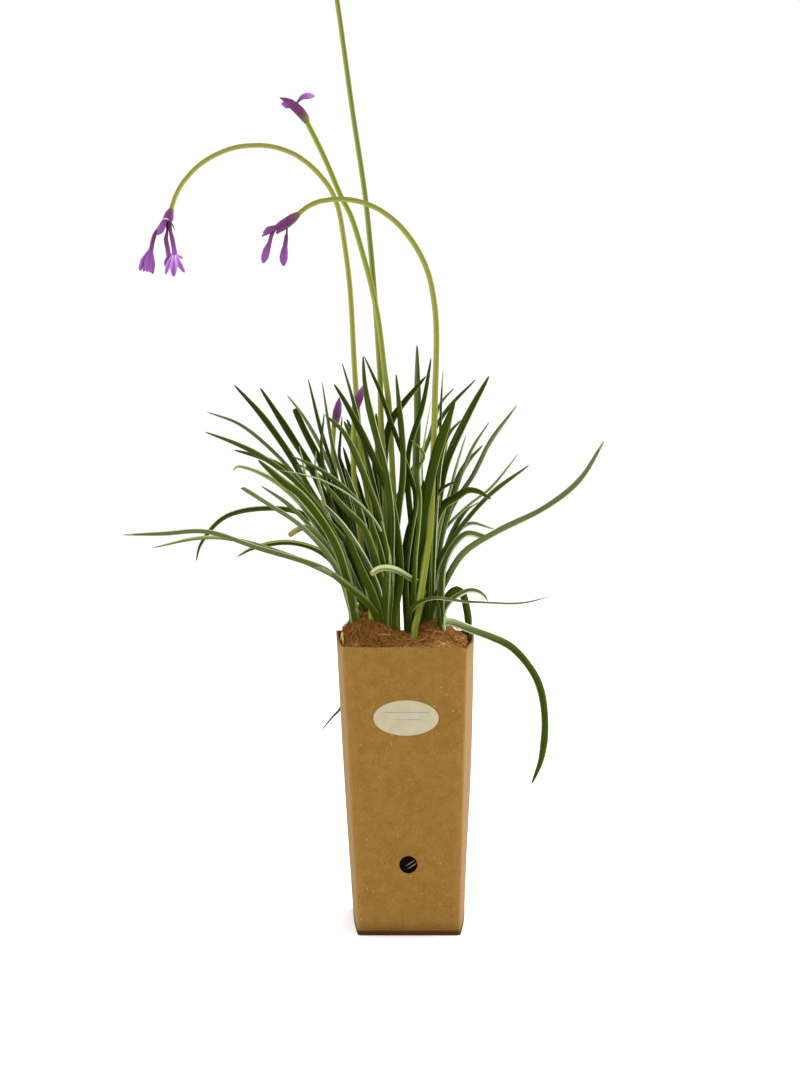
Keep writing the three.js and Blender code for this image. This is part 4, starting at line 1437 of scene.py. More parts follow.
@dataclass
class Shoot:
    """A fan of leaves that rises from one place in the mat."""

    name: str
    place: tuple[float, float]
    leaves: tuple[Leaf, ...]
    rear: tuple[RearLeaf, ...] = ()
    root_height: float = 0.188
    collar_reach: float = 0.010
    spread: float = 0.0046
    depth_spread: float = 0.0018
    sheath_radius: float = 0.0034
    sheath_rise: float = 0.004
    sheath_point: float = 0.006
    thickness: float = 0.0010
    channel: float = 0.10
    crowding: float = 1.35
    twist: float = 9.0
    wavy: float = 0.035
    waves_per_metre: float = 160.0
    # How far up from its foot a blade gets painted shade.
    foot_shade_length: float = 0.090
    foot_facing: float = 0.50

    def build(self, blank: Blank, stem: Blank, material: bpy.types.Material) -> bpy.types.Object:
        """Lay the shoot's leaves and join them to one piece.

        Args:
            blank: The rod that each blade is a copy of.
            stem: The rod that the sheath is a copy of.
            material: The leaves' finish.

        Returns:
            The piece.
        """
        chance = random.Random(self.name)
        bundle = Bundle()
        self._sheathe(bundle, stem, chance)
        x, y = self.place
        for leaf in self.leaves:
            points = SIGHT.leaned(leaf.seen, y, leaf.lean)
            side = max(-1.0, min(1.0, (points[-1].x - x) / self.collar_reach)) * self.spread
            back = max(-1.0, min(1.0, (points[-1].y - y) / self.collar_reach)) * self.depth_spread
            collar = Vector((x + side, y + back, mat_height(x, y) + MILLIMETRE))
            root = Vector((x + side / 2, y + back / 2, self.root_height))
            self._lay(bundle, blank, Way([*points, collar, root]), leaf, chance)
        for leaf in self.rear:
            across = math.radians(leaf.heading + 90.0)
            sideways = np.array((math.cos(across), math.sin(across), 0.0))
            self._lay(bundle, blank, Way(self._bent(leaf)), leaf, chance, sideways)
        return bundle.made(f"{self.name}_leaves", material, [self.name])

    def _sheathe(self, bundle: Bundle, stem: Blank, chance: random.Random) -> None:
        """Stand the pointed sheath that the leaves leave from.

        Args:
            bundle: The shoot's bundle.
            stem: The rod that it is a copy of.
            chance: The shoot's own randomness.
        """
        x, y = self.place
        top = mat_height(x, y) + self.sheath_rise
        way = Way([Vector((x, y, z)) for z in (top, top - self.sheath_point, self.root_height)])
        sizes = self.sheath_radius * np.interp(stem.shares, (0.0, 0.15, 0.5, 1.0), (0.10, 0.55, 1.0, 1.0))
        # The sheath gets the full painted foot shade.
        looks = np.tile((0.3, 0.0, -1.0), (len(sizes), 1))
        lay_rod(bundle, stem, way, sizes, looks, chance.random(), 0.08)

    def _bent(self, leaf: RearLeaf) -> list[Vector]:
        """Trace a hidden blade, which rises from its shoot and bends over with its length.

        Args:
            leaf: The blade.

        Returns:
            The points, tip first.
        """
        x, y = self.place
        across = math.radians(leaf.heading)
        points = [Vector((x, y, self.root_height))]
        at = Vector((x, y, SIGHT.collar_height - 3 * MILLIMETRE))
        parts = 5
        for index in range(parts + 1):
            points.insert(0, at.copy())
            tilt = math.radians(leaf.start + leaf.bend * (index / parts) ** 2)
            step = leaf.length / parts
            flat = step * math.sin(tilt)
            at += Vector((flat * math.cos(across), flat * math.sin(across), step * math.cos(tilt)))
        return points

    def _lay(
        self,
        bundle: Bundle,
        blank: Blank,
        way: Way,
        leaf: Leaf | RearLeaf,
        chance: random.Random,
        sideways: np.ndarray | None = None,
    ) -> None:
        """Lay one blade along its way.

        Args:
            bundle: The shoot's bundle.
            blank: The rod that it is a copy of.
            way: Its midrib, tip first.
            leaf: The blade.
            chance: The shoot's own randomness.
            sideways: The direction of its width, where the photograph doesn't show it.
        """
        twist = math.radians(chance.uniform(-self.twist, self.twist))
        phase = chance.uniform(0.0, 6.0)
        shares = blank.shares**self.crowding
        facing = mix(1.0, self.foot_facing, np.clip(shares * 2.0 - 0.7, 0.0, 1.0))
        turns = math.radians(leaf.turn) * facing
        course = blade_course(way, shares, leaf.width, leaf.tip, turns, twist, sideways)
        sizes = leaf.tip.width(shares)
        far = shares * way.length
        course.halves *= 1.0 + self.wavy * np.sin(phase + far * self.waves_per_metre)
        course.bodies = self.thickness * np.maximum(sizes, 0.35) / 2
        course.lifts = leaf.width * sizes * self.channel
        # Painted shade over the last stretch of each blade before its foot; a pale foot lessens it, and a dry
        # tip is noted in the same value.
        low = np.clip(1.0 - (way.length - far) / self.foot_shade_length, 0.0, 1.0)
        foot_shade_and_dryness = low * (leaf.pale_foot - 1.0)
        if leaf.dry > 0.0:
            foot_shade_and_dryness += np.clip(2.0 - far / leaf.dry / 0.75, 0.0, 1.0)
        paling = leaf.pale_foot * np.clip(shares * 2.5 - 1.3, 0.0, 1.0)
        rows = np.stack([leaf.tone + paling * 0.8, leaf.cream + paling * 0.25, foot_shade_and_dryness], axis=1)
        bundle.add(blank, course, rows, way.length, chance.random())


def blade_course(
    way: Way,
    shares: np.ndarray,
    width: float,
    tip: Tip,
    turn: np.ndarray | float,
    twist: float = 0.0,
    sideways: np.ndarray | None = None,
) -> Course:
    """Set out the rings of a blade.

    Args:
        way: Its midrib, tip first.
        shares: Where its rings lie.
        width: Its full width.
        tip: How it ends.
        turn: The turn about the midrib, in radians, for all rings or for each.
        twist: How far the turn changes from foot to tip, in radians.
        sideways: The direction of its width, if not square to the photograph's sight.

    Returns:
        The rings, with no thickness yet.
    """
    middles = way.at(shares)
    along = way.along(shares)
    if sideways is None:
        flats = unit(np.cross(middles - np.array(SIGHT.eye), along))
    else:
        beside = np.tile(sideways, (len(shares), 1))
        flats = unit(beside - along * np.sum(beside * along, axis=1, keepdims=True))
    flats = turned(flats, along, turn + twist * (1.0 - shares))
    ups = unit(np.cross(along, flats))
    halves = width * tip.width(shares) / 2
    nothing = np.zeros(len(shares))
    return Course(middles, flats, ups, halves, nothing, nothing)


def lay_rod(
    bundle: Bundle,
    blank: Blank,
    way: Way,
    sizes: np.ndarray,
    looks: np.ndarray,
    seed: float,
    ridge: float = 0.0,
    ridges: int = 3,
) -> None:
    """Lay a round rod along its way.

    Args:
        bundle: The bundle that it joins.
        blank: The rod that it is a copy of.
        way: Its middle line.
        sizes: Its radius at each ring.
        looks: Three values of its look for each ring.
        seed: What sets its pattern apart.
        ridge: How strongly it is ribbed.
        ridges: How many ribs it has.
    """
    middles = way.at(blank.shares)
    along = way.along(blank.shares)
    side = np.tile((0.0, 1.0, 0.0), (len(middles), 1))
    flats = unit(np.cross(side, along))
    ups = unit(np.cross(along, flats))
    course = Course(middles, flats, ups, sizes, sizes, np.zeros(len(sizes)), ridge, ridges, True)
    bundle.add(blank, course, looks, way.length, seed)


def lay_tube(
    bundle: Bundle,
    stem: Blank,
    points: Sequence[Vector],
    radii: Sequence[float],
    tones: Sequence[float],
    seed: float,
    ridge: float = 0.06,
    green: float = 0.0,
) -> None:
    """Lay a spathe, bud, tube or flower stem.

    Args:
        bundle: The head's bundle.
        stem: The rod that it is a copy of.
        points: Its middle line.
        radii: Its radius at each point, in millimetres.
        tones: Its tones from start to end.
        seed: What sets its pattern apart.
        ridge: How strongly it is ribbed.
        green: How green its start is.
    """
    shares = stem.shares
    walked = [0.0]
    for start, end in zip(points, points[1:]):
        walked.append(walked[-1] + (end - start).length)
    knots = [distance / walked[-1] for distance in walked]
    sizes = np.interp(shares, knots, [radius * MILLIMETRE for radius in radii])
    shades = np.interp(shares, np.linspace(0.0, 1.0, len(tones)), tones)
    greens = green * np.clip(1.0 - shares * 3.0, 0.0, 1.0)
    looks = np.stack([shades, np.full(len(shades), 0.4), greens], axis=1)
    lay_rod(bundle, stem, Way(points), sizes, looks, seed, ridge)


@dataclass(frozen=True)
class PetalForm:
    """A petal's width, its end, its channel as a share of its width, and its tones at tip and foot."""

    width: float
    tip: Tip
    channel: float
    tones: tuple[float, float]


def lay_petal(
    bundle: Bundle,
    blade: Blank,
    way: Way,
    form: PetalForm,
    seed: float,
    turn: float = 0.0,
    sideways: np.ndarray | None = None,
) -> None:
    """Lay a petal.

    Args:
        bundle: The head's bundle.
        blade: The rod that it is a copy of.
        way: Its midrib, tip first.
        form: Its form.
        seed: What sets its pattern apart.
        turn: The turn about its midrib, in degrees.
        sideways: The direction of its width, if not square to the photograph's sight.
    """
    shares = blade.shares
    course = blade_course(way, shares, form.width, form.tip, math.radians(turn), 0.0, sideways)
    sizes = form.tip.width(shares)
    course.bodies = PETAL_THICKNESS * np.maximum(sizes, 0.4) / 2
    course.lifts = form.width * sizes * form.channel
    shades = np.interp(shares, (0.0, 1.0), form.tones)
    looks = np.stack([shades, np.ones(len(shades)), np.zeros(len(shades))], axis=1)
    bundle.add(blade, course, looks, way.length, seed)


# A leaf's tone is partly its own green and partly painted light: leaves deep in the clump have low tones as
# painted shade, and leaves on the right have higher tones as painted light.
SHOOTS = (
    Shoot("shoot_left_front", (-0.033, -0.009), (
        Leaf(-0.20, 0.0055, 45, ((237, 557), (252, 549), (288, 543), (318, 551), (338, 569), (350, 592),
             (356, 612)), 0.10, 0.52, 0.002),
        Leaf(-0.30, 0.0050, 45, ((289, 536), (300, 529), (308, 528), (325, 544), (344, 578)), 0.75, 0.14,
             0.005, Tip.BLUNT),
        Leaf(-0.45, 0.0055, 55, ((242, 488), (267, 504), (300, 526), (332, 562)), 0.68, 0.14, 0.0,
             Tip.BLUNT, 0.3),
        Leaf(-0.60, 0.0065, 30, ((258, 460), (284, 483), (301, 496), (335, 545)), 0.26, 0.26,
             pale_foot=0.5),
        Leaf(-0.40, 0.0060, 50, ((205, 432), (238, 445), (263, 458), (300, 487), (338, 545)), 0.30, 0.16,
             pale_foot=0.3),
        Leaf(-0.30, 0.0055, 70, ((207, 412), (240, 425), (276, 455), (297, 479), (335, 535)), 0.64, 0.10),
        Leaf(-0.24, 0.0055, 50, ((300, 505), (320, 530), (336, 560), (347, 590)), 0.50, 0.16,
             pale_foot=0.3),
    )),
    Shoot("shoot_left_back", (-0.034, 0.005), (
        Leaf(0.10, 0.0055, 48, ((196, 561), (201, 544), (224, 518), (262, 509), (301, 514), (335, 545)),
             0.25, 0.14),
        Leaf(0.00, 0.0055, 50, ((261, 486), (288, 505), (315, 533), (342, 575)), 0.60, 0.14, pale_foot=0.2),
        Leaf(-0.05, 0.0060, 50, ((233, 471), (237, 467), (267, 477), (297, 501), (330, 550)), 0.84, 0.30,
             0.008),
        Leaf(0.05, 0.0055, 45, ((234, 450), (267, 460), (295, 477), (332, 530)), 0.30, 0.14),
        Leaf(0.20, 0.0065, 42, ((234, 385), (263, 418), (294, 463), (304, 483), (338, 550)), 0.05, 0.08),
        Leaf(0.30, 0.0065, 42, ((260, 388), (293, 440), (313, 473), (342, 545)), 0.05, 0.10),
        Leaf(0.10, 0.0065, 45, ((330, 470), (340, 505), (352, 545), (362, 590)), 0.0, 0.06),
    )),
    Shoot("shoot_left_middle", (-0.024, -0.004), (
        Leaf(0.05, 0.0065, 42, ((294, 409), (305, 433), (320, 463), (348, 540)), 0.05, 0.08, 0.0,
             Tip.BLUNT),
        Leaf(0.10, 0.0050, 65, ((287, 395), (304, 418), (326, 459), (352, 530)), 0.75, 0.10),
        Leaf(0.08, 0.0050, 65, ((308, 379), (320, 429), (325, 445), (350, 525)), 0.15, 0.12),
        Leaf(0.00, 0.0050, 60, ((322, 382), (329, 429), (332, 445), (353, 520)), 0.65, 0.14),
        Leaf(-0.02, 0.0050, 65, ((324, 413), (321, 450), (330, 500), (352, 560)), 0.10, 0.12),
        Leaf(0.02, 0.0050, 60, ((299, 446), (302, 460), (311, 505), (340, 565)), 0.80, 0.20),
        Leaf(-0.02, 0.0050, 60, ((316, 451), (315, 465), (326, 510), (350, 570)), 0.80, 0.20),
        Leaf(0.10, 0.0050, 60, ((342, 416), (340, 437), (339, 459), (355, 540)), 0.05, 0.08),
        Leaf(0.12, 0.0045, 65, ((349, 426), (350, 440), (352, 460), (362, 540)), 0.40, 0.12),
        Leaf(-0.02, 0.0060, 50, ((332, 470), (342, 505), (354, 550), (364, 590)), 0.05, 0.08),
        Leaf(0.05, 0.0060, 50, ((343, 447), (352, 480), (362, 520), (368, 570)), 0.05, 0.08),
        Leaf(0.00, 0.0060, 45, ((297, 464), (307, 485), (319, 506), (338, 541), (352, 585)), 0.30, 0.14),
        Leaf(0.00, 0.0060, 45, ((338, 453), (346, 480), (354, 505), (363, 540), (370, 585)), 0.10, 0.08),
    )),
    Shoot("shoot_centre_front", (-0.017, -0.014), (
        Leaf(-0.45, 0.0046, 50, ((123, 535), (163, 534), (206, 532), (257, 548), (325, 570),
             (345, 585, -27), (360, 597, -24), (370, 606, -21), (378, 618, -17)), 0.60, 0.14, 0.006),
        Leaf(-0.38, 0.0045, 55, ((152, 548), (204, 538), (244, 542), (299, 560), (345, 583, -25),
             (366, 602, -22)), 0.72, 0.14),
        Leaf(-0.28, 0.0065, 45, ((334, 384), (347, 406), (370, 452), (389, 496), (397, 540), (399, 580)),
             0.05, 0.10),
        Leaf(-0.20, 0.0050, 60, ((342, 363), (352, 398), (362, 440), (380, 520)), 0.25, 0.12),
        Leaf(-0.30, 0.0060, 35, ((363, 356), (364, 378), (367, 400), (374, 430), (384, 468), (390, 510),
             (390, 560)), 0.35, 0.12),
        Leaf(-0.36, 0.0055, 50, ((292, 456), (326, 474), (360, 505), (386, 548)), 0.50, 0.18),
        Leaf(-0.44, 0.0045, 80, ((275, 470), (300, 474), (330, 484), (364, 508), (386, 545)), 0.75, 0.22),
        Leaf(-0.42, 0.0050, 55, ((319, 499), (352, 538), (378, 590)), 0.62, 0.26, 0.005, pale_foot=0.3),
        Leaf(-0.34, 0.0060, 45, ((325, 415), (343, 432), (361, 469), (380, 525)), 0.40, 0.14),
        Leaf(0.00, 0.0055, 45, ((396, 374, -36), (397.5, 392, -35), (400, 420, -33), (402.5, 450, -31),
             (402, 478, -28), (399, 505, -25), (395, 535, -22), (390, 575, -18)), 0.40, 0.12),
        Leaf(-0.46, 0.0050, 45, ((379.5, 521), (385, 545), (390, 578), (390, 600)), 0.25, 0.18, 0.0,
             Tip.BLUNT),
        Leaf(-0.40, 0.0050, 50, ((363, 495), (372, 525), (381, 553), (386, 590)), 0.30, 0.20),
        Leaf(-0.32, 0.0065, 45, ((330, 505), (345, 535), (360, 568, -28), (374, 600, -22)), 0.25, 0.12),
        Leaf(-0.38, 0.0060, 50, ((321, 480), (344, 508), (363, 527), (373, 551), (381, 580), (388, 600)),
             0.42, 0.20, pale_foot=0.15),
        Leaf(-0.30, 0.0055, 50, ((305, 483), (317, 507), (338, 533), (361, 560), (376, 600)), 0.35, 0.14),
        Leaf(-0.34, 0.0060, 45, ((345, 468), (356, 503), (366, 535), (376, 566), (384, 602)), 0.40, 0.18),
    )),
    Shoot("shoot_left_rear", (-0.018, 0.016), (
        Leaf(0.20, 0.0055, 45, ((454, 388), (440, 404), (429, 438), (421, 457), (412, 475), (404, 488),
             (398, 502), (395, 525), (391, 560)), 0.60, 0.18),
        Leaf(0.32, 0.0055, 50, ((476, 379), (447, 409), (428, 440), (414, 466), (402, 488), (395, 505),
             (390, 540)), 0.30, 0.12),
        Leaf(0.00, 0.0055, 30, ((426, 376, -27), (404, 402, -29), (393, 417, -31), (388, 430, -27.5),
             (385, 447, -20), (383.5, 475, -9), (383, 520, 4), (383, 570, 12)), 0.05, 0.14),
        Leaf(0.10, 0.0065, 45, ((372, 452), (376, 490), (380, 545), (384, 590)), 0.05, 0.08),
        Leaf(0.02, 0.0060, 45, ((390, 470), (392, 510), (391, 565)), 0.05, 0.08),
        Leaf(0.02, 0.0065, 40, ((357, 440), (364, 470), (371, 505), (380, 545), (388, 590)), 0.05, 0.08),
        Leaf(0.02, 0.0060, 40, ((352, 464), (359, 492), (365, 520), (371, 552), (379, 590)), 0.10, 0.10),
        Leaf(0.00, 0.0040, 60, ((321.5, 731, 62), (331, 719, 61), (341, 708, 60), (352, 680, 58),
             (359, 650, 55), (362, 626, 48), (366, 610, 36), (374, 603, 24)), 0.60, 0.14),
    ), (
        RearLeaf(140, 20, 80, 0.150),
        RearLeaf(115, 12, 60, 0.160, tone=0.15),
        RearLeaf(90, 18, 80, 0.155, tone=0.55),
        RearLeaf(128, 6, 45, 0.150, tone=0.2),
        RearLeaf(100, 5, 30, 0.150, tone=0.45),
    )),
    Shoot("shoot_right_front", (0.001, -0.007), (
        Leaf(0.00, 0.0045, 50, ((364, 356, -38), (372.5, 375, -37), (380, 392, -36), (388, 415, -35),
             (396, 437, -27), (405, 462, -21), (411, 480, -18), (415, 494, -17), (414, 530, -12),
             (411, 575, -9)), 0.05, 0.10),
        Leaf(0.00, 0.0075, 25, ((455, 400, -46), (444, 430, -41), (436, 453, -37), (429.5, 480, -33),
             (424, 510, -25), (420, 540, -18), (415, 575, -12)), 0.18, 0.08),
        Leaf(0.00, 0.0045, 20, ((371, 574.5, -36), (378, 569.5, -34), (386, 568, -31), (396, 570, -26),
             (408, 577, -18), (419, 584, -10), (423, 595, -4.5), (419, 612, -5)), 0.88, 0.42, 0.0015,
             Tip.BLUNT),
        Leaf(-0.08, 0.0055, 50, ((431, 358), (422, 406), (409, 447), (407, 480), (413, 550)), 0.15, 0.12),
        Leaf(-0.50, 0.0040, 55, ((411, 440), (424, 455), (418, 470), (420, 500), (418, 530), (415, 560)),
             0.45, 0.26),
        Leaf(-1.00, 0.0044, 78, ((549, 597), (520, 603), (480, 602), (463, 601), (448, 598.7),
             (432, 597.5, -25), (420, 601.5, -24), (411, 609, -20), (408.5, 620, -12)), 0.60, 0.12),
        Leaf(-0.14, 0.0060, 45, ((424, 480), (416, 507), (407.5, 532), (403.5, 556), (405, 590)), 0.0,
             0.06),
        Leaf(-0.34, 0.0040, 60, ((417, 478), (417, 500), (412, 530), (407, 565), (406, 590)), 0.30, 0.20),
        Leaf(0.05, 0.0065, 40, ((412, 540), (409, 560), (407, 580), (406, 600)), 0.0, 0.05),
    )),
    Shoot("shoot_right_middle", (0.012, -0.004), (
        Leaf(0.05, 0.0050, 65, ((443, 371), (441, 399), (439, 466), (438, 503), (432, 570)), 0.10, 0.12,
             0.010),
        Leaf(0.10, 0.0065, 40, ((489, 376), (467, 416), (447, 460), (438, 500), (431, 560)), 0.28, 0.14),
        Leaf(-0.02, 0.0055, 35, ((461, 420), (449, 433), (441, 453), (434, 520)), 0.60, 0.14),
        Leaf(0.12, 0.0060, 25, ((417, 345), (417, 424), (416, 454), (418, 530)), 0.62, 0.12),
        Leaf(0.02, 0.0045, 80, ((431, 400), (425, 435), (422, 460), (424, 530)), 0.95, 0.20),
        Leaf(0.02, 0.0065, 30, ((491, 499), (478, 491), (467, 490), (455.5, 497), (444, 504), (436, 518),
             (430, 560)), 0.20, 0.14),
        Leaf(-0.05, 0.0050, 45, ((459, 482), (449, 484), (437, 494), (430, 540)), 0.10, 0.14),
        Leaf(0.15, 0.0050, 50, ((529, 465), (489, 495), (456, 533), (436, 567)), 0.52, 0.12),
        Leaf(-0.25, 0.0054, 48, ((604, 441), (579, 480), (545, 507), (497, 531), (463, 553), (443, 585),
             (432, 606)), 0.70, 0.12, 0.006),
        Leaf(-0.08, 0.0055, 50, ((437, 462), (434, 505), (429, 545), (426, 590)), 0.05, 0.08),
    )),
    Shoot("shoot_right_outer", (0.022, -0.012), (
        Leaf(-0.15, 0.0056, 25, ((532, 784), (542, 757), (545, 715), (537, 679), (513, 648), (492, 637),
             (470, 629), (456, 623), (447, 621.5), (442, 624)), 0.30, 0.18, pale_foot=0.9),
        Leaf(0.30, 0.0050, 45, ((488, 601), (484, 595), (478, 591), (469, 590), (458, 595), (448, 603),
             (443, 613)), 0.60, 0.38, pale_foot=0.7),
        Leaf(1.30, 0.0060, 30, ((468, 640), (469, 624), (467, 608), (463, 594), (457, 589.5), (449, 595),
             (443, 608)), 0.25, 0.06),
        Leaf(0.10, 0.0055, 38, ((489, 538), (467, 533), (454, 544), (444, 564), (441, 585)), 0.58, 0.34,
             0.0, Tip.BLUNT),
        Leaf(-0.30, 0.0032, 30, ((437.5, 600), (438, 607), (438.5, 615)), 0.30, 0.06, 0.012),
    )),
    Shoot("shoot_right_rear", (0.014, 0.016), (
        Leaf(0.30, 0.0050, 70, ((518, 454), (490, 488), (466, 507), (441, 535), (434, 575)), 0.78, 0.14,
             0.012),
        Leaf(0.42, 0.0055, 48, ((517, 405), (490, 441), (472, 476), (450, 510), (437, 560)), 0.60, 0.08,
             0.006),
        Leaf(0.25, 0.0050, 58, ((489, 422), (471, 450), (453, 498), (438, 555)), 0.68, 0.10),
        Leaf(0.20, 0.0045, 70, ((466, 435), (458, 460), (450, 489), (436, 545)), 0.82, 0.14),
        Leaf(0.15, 0.0050, 60, ((494, 529), (470, 523), (455, 535), (436, 575)), 0.75, 0.18),
    ), (
        RearLeaf(78, 14, 65, 0.165, tone=0.15),
        RearLeaf(58, 14, 75, 0.150),
        RearLeaf(60, 24, 80, 0.115, tone=0.4),
        RearLeaf(65, 6, 40, 0.155, tone=0.2),
    )),
)


# Flower stalks and heads


@dataclass(frozen=True)
class Stalk:
    """A flower stalk as the photograph shows it, its top first."""

    name: str
    place: tuple[float, float]
    lean: float
    radius: float
    seen: tuple[Pixel, ...]
    tone: float = 0.5
    bright: float = 0.3
    foot_bright: float = 0.6
    foot_radius: float = 0.0021
    # How strong the painted highlight along one side is.
    lit_side: float = 0.5
    foot_rise: float = 0.009
    root_height: float = 0.180

    def way(self) -> Way:
        """Trace the stalk's middle line.

        Returns:
            The line, its top first.
        """
        x, y = self.place
        levels = (mat_height(x, y) + self.foot_rise, MAT_EDGE, self.root_height)
        points = SIGHT.leaned(self.seen, y, self.lean)
        return Way([*points, *(Vector((x, y, z)) for z in levels)])

    def top_depth(self) -> float:
        """Return the y of the stalk's top."""
        return SIGHT.leaned(self.seen[:1], self.place[1], self.lean)[0].y

    def build(self, blank: Blank, material: bpy.types.Material) -> bpy.types.Object:
        """Lay the stalk.

        Args:
            blank: The rod that it is a copy of.
            material: The stalks' finish.

        Returns:
            The piece.
        """
        shares = blank.shares
        sizes = self.radius + (self.foot_radius - self.radius) * shares
        bright = mix(self.bright, self.foot_bright, np.clip(shares * 3.0 - 1.4, 0.0, 1.0))
        even = np.ones(len(shares))
        looks = np.stack([even * self.tone, bright, even * self.lit_side], axis=1)
        bundle = Bundle()
        seed = random.Random(self.name).random()
        lay_rod(bundle, blank, self.way(), sizes, looks, seed, 0.03, 5)
        return bundle.made(f"{self.name}_rod", material, [self.name])


STALKS = (
    Stalk("stalk_a", (-0.010, 0.008), 0.0, 0.0016, ((325, -62, -24), (331, -35, -24), (337, 0, -24),
          (353, 114, -25), (365, 194, -26), (371.3, 255, -27), (375, 300, -27), (376.5, 320, -27),
          (380.3, 380, -28), (381, 420, -31), (383, 450, -31), (384, 475, -27), (386, 520, -13),
          (389, 570, 0)), 0.20, 0.10, 0.70),
    Stalk("stalk_b", (-0.008, -0.007), -0.10, 0.0017, ((306, 120), (321, 150), (330, 170), (340, 194),
          (351, 216), (364, 258, -38), (371, 284, -38), (378, 318, -37), (384.5, 370, -35), (387, 388, -33),
          (388.6, 400, -28.5), (391, 440, -19), (394, 500, -14), (397, 580, -9)), 0.30, 0.85, 0.95),
    Stalk("stalk_c", (-0.019, 0.003), 0.05, 0.0016, ((170.8, 210), (175, 197), (181.7, 184), (191.7, 171.7),
          (203.3, 161.7), (216.7, 154), (233.3, 147.7), (250, 145.2), (264, 145.3), (278.3, 147.8),
          (295, 154.3), (308.3, 163.5), (319.2, 174), (330, 188), (338, 207), (344, 240), (350, 288),
          (355, 375), (361, 450), (366, 485), (374, 540)), 0.85, 0.15, 0.95),
    Stalk("stalk_d", (0.004, -0.016), -0.12, 0.0016, ((298, 214), (306, 207.5), (317.5, 201.8),
          (329.5, 199.5), (345, 199), (365, 203), (385, 213), (403, 229), (418, 250), (428, 272),
          (434, 300), (436.5, 330), (435, 400), (434, 440), (432.5, 480), (431, 519), (426.5, 558),
          (420.5, 597), (416.5, 622)), 0.70, 0.35, 0.90, 0.0024),
    Stalk("stalk_e", (-0.029, 0.013), 0.20, 0.0017, ((334, 426), (333, 452), (340, 500), (353, 560)), 0.30,
          0.90, 0.90),
    Stalk("stalk_f", (-0.026, -0.014), -0.05, 0.0018, ((354.5, 411), (353.5, 460), (356, 500), (361, 540),
          (368.5, 592)), 0.30, 0.95, 0.95),
)


@dataclass(frozen=True)
class Rod:
    """A spathe, bud, tube or flower stem: seen points with radii in millimetres, and its tones."""

    line: tuple[tuple[float, float, float], ...]
    tones: tuple[float, ...]
    ridge: float = 0.05
    green: float = 0.0
    forward: float = 0.0


@dataclass(frozen=True)
class Petal:
    """A petal from a tube's mouth to its own tip, in front of the tube or behind it."""

    foot: Pixel
    tip: Pixel
    width: float
    forward: float
    turn: float = 20.0
    tones: tuple[float, float] = (0.95, 0.7)


@dataclass(frozen=True)
class Head:
    """A flower head at the end of its stalk, in the stalk's own depth."""

    name: str
    stalk: str
    rods: tuple[Rod, ...]
    petals: tuple[Petal, ...] = ()
    petal_channel: float = 0.16
    petal_bow: float = 0.08

    def build(
        self, stem: Blank, blade: Blank, depth: float, material: bpy.types.Material
    ) -> bpy.types.Object:
        """Lay the head's spathe, buds, tubes and petals.

        Args:
            stem: The rod that spathes, buds and tubes are copies of.
            blade: The rod that petals are copies of.
            depth: The y that the head hangs at.
            material: The blooms' finish.

        Returns:
            The piece.
        """
        chance = random.Random(self.name)
        bundle = Bundle()
        for rod in self.rods:
            points = [SIGHT.point((x, y), depth - rod.forward) for x, y, _ in rod.line]
            radii = [radius for _, _, radius in rod.line]
            lay_tube(bundle, stem, points, radii, rod.tones, chance.random(), rod.ridge, rod.green)
        for petal in self.petals:
            form = PetalForm(petal.width, Tip.BROAD_PETAL, self.petal_channel, petal.tones)
            lay_petal(bundle, blade, self._bowed(petal, depth), form, chance.random(), petal.turn)
        return bundle.made(f"{self.name}_bloom", material, [self.name])

    def _bowed(self, petal: Petal, depth: float) -> Way:
        """Trace a petal's midrib, bowed outwards between its tip and its foot.

        Args:
            petal: The petal.
            depth: The y that the head hangs at.

        Returns:
            The midrib, tip first.
        """
        foot = SIGHT.point(petal.foot, depth - petal.forward * 0.3)
        tip = SIGHT.point(petal.tip, depth - petal.forward)
        middle = (foot + tip) / 2
        along = (tip - foot).normalized()
        outward = middle - SIGHT.point(petal.foot, depth)
        outward = outward - along * outward.dot(along)
        if outward.length > 0:
            middle += outward.normalized() * (tip - foot).length * self.petal_bow
        return Way([tip, middle, foot])


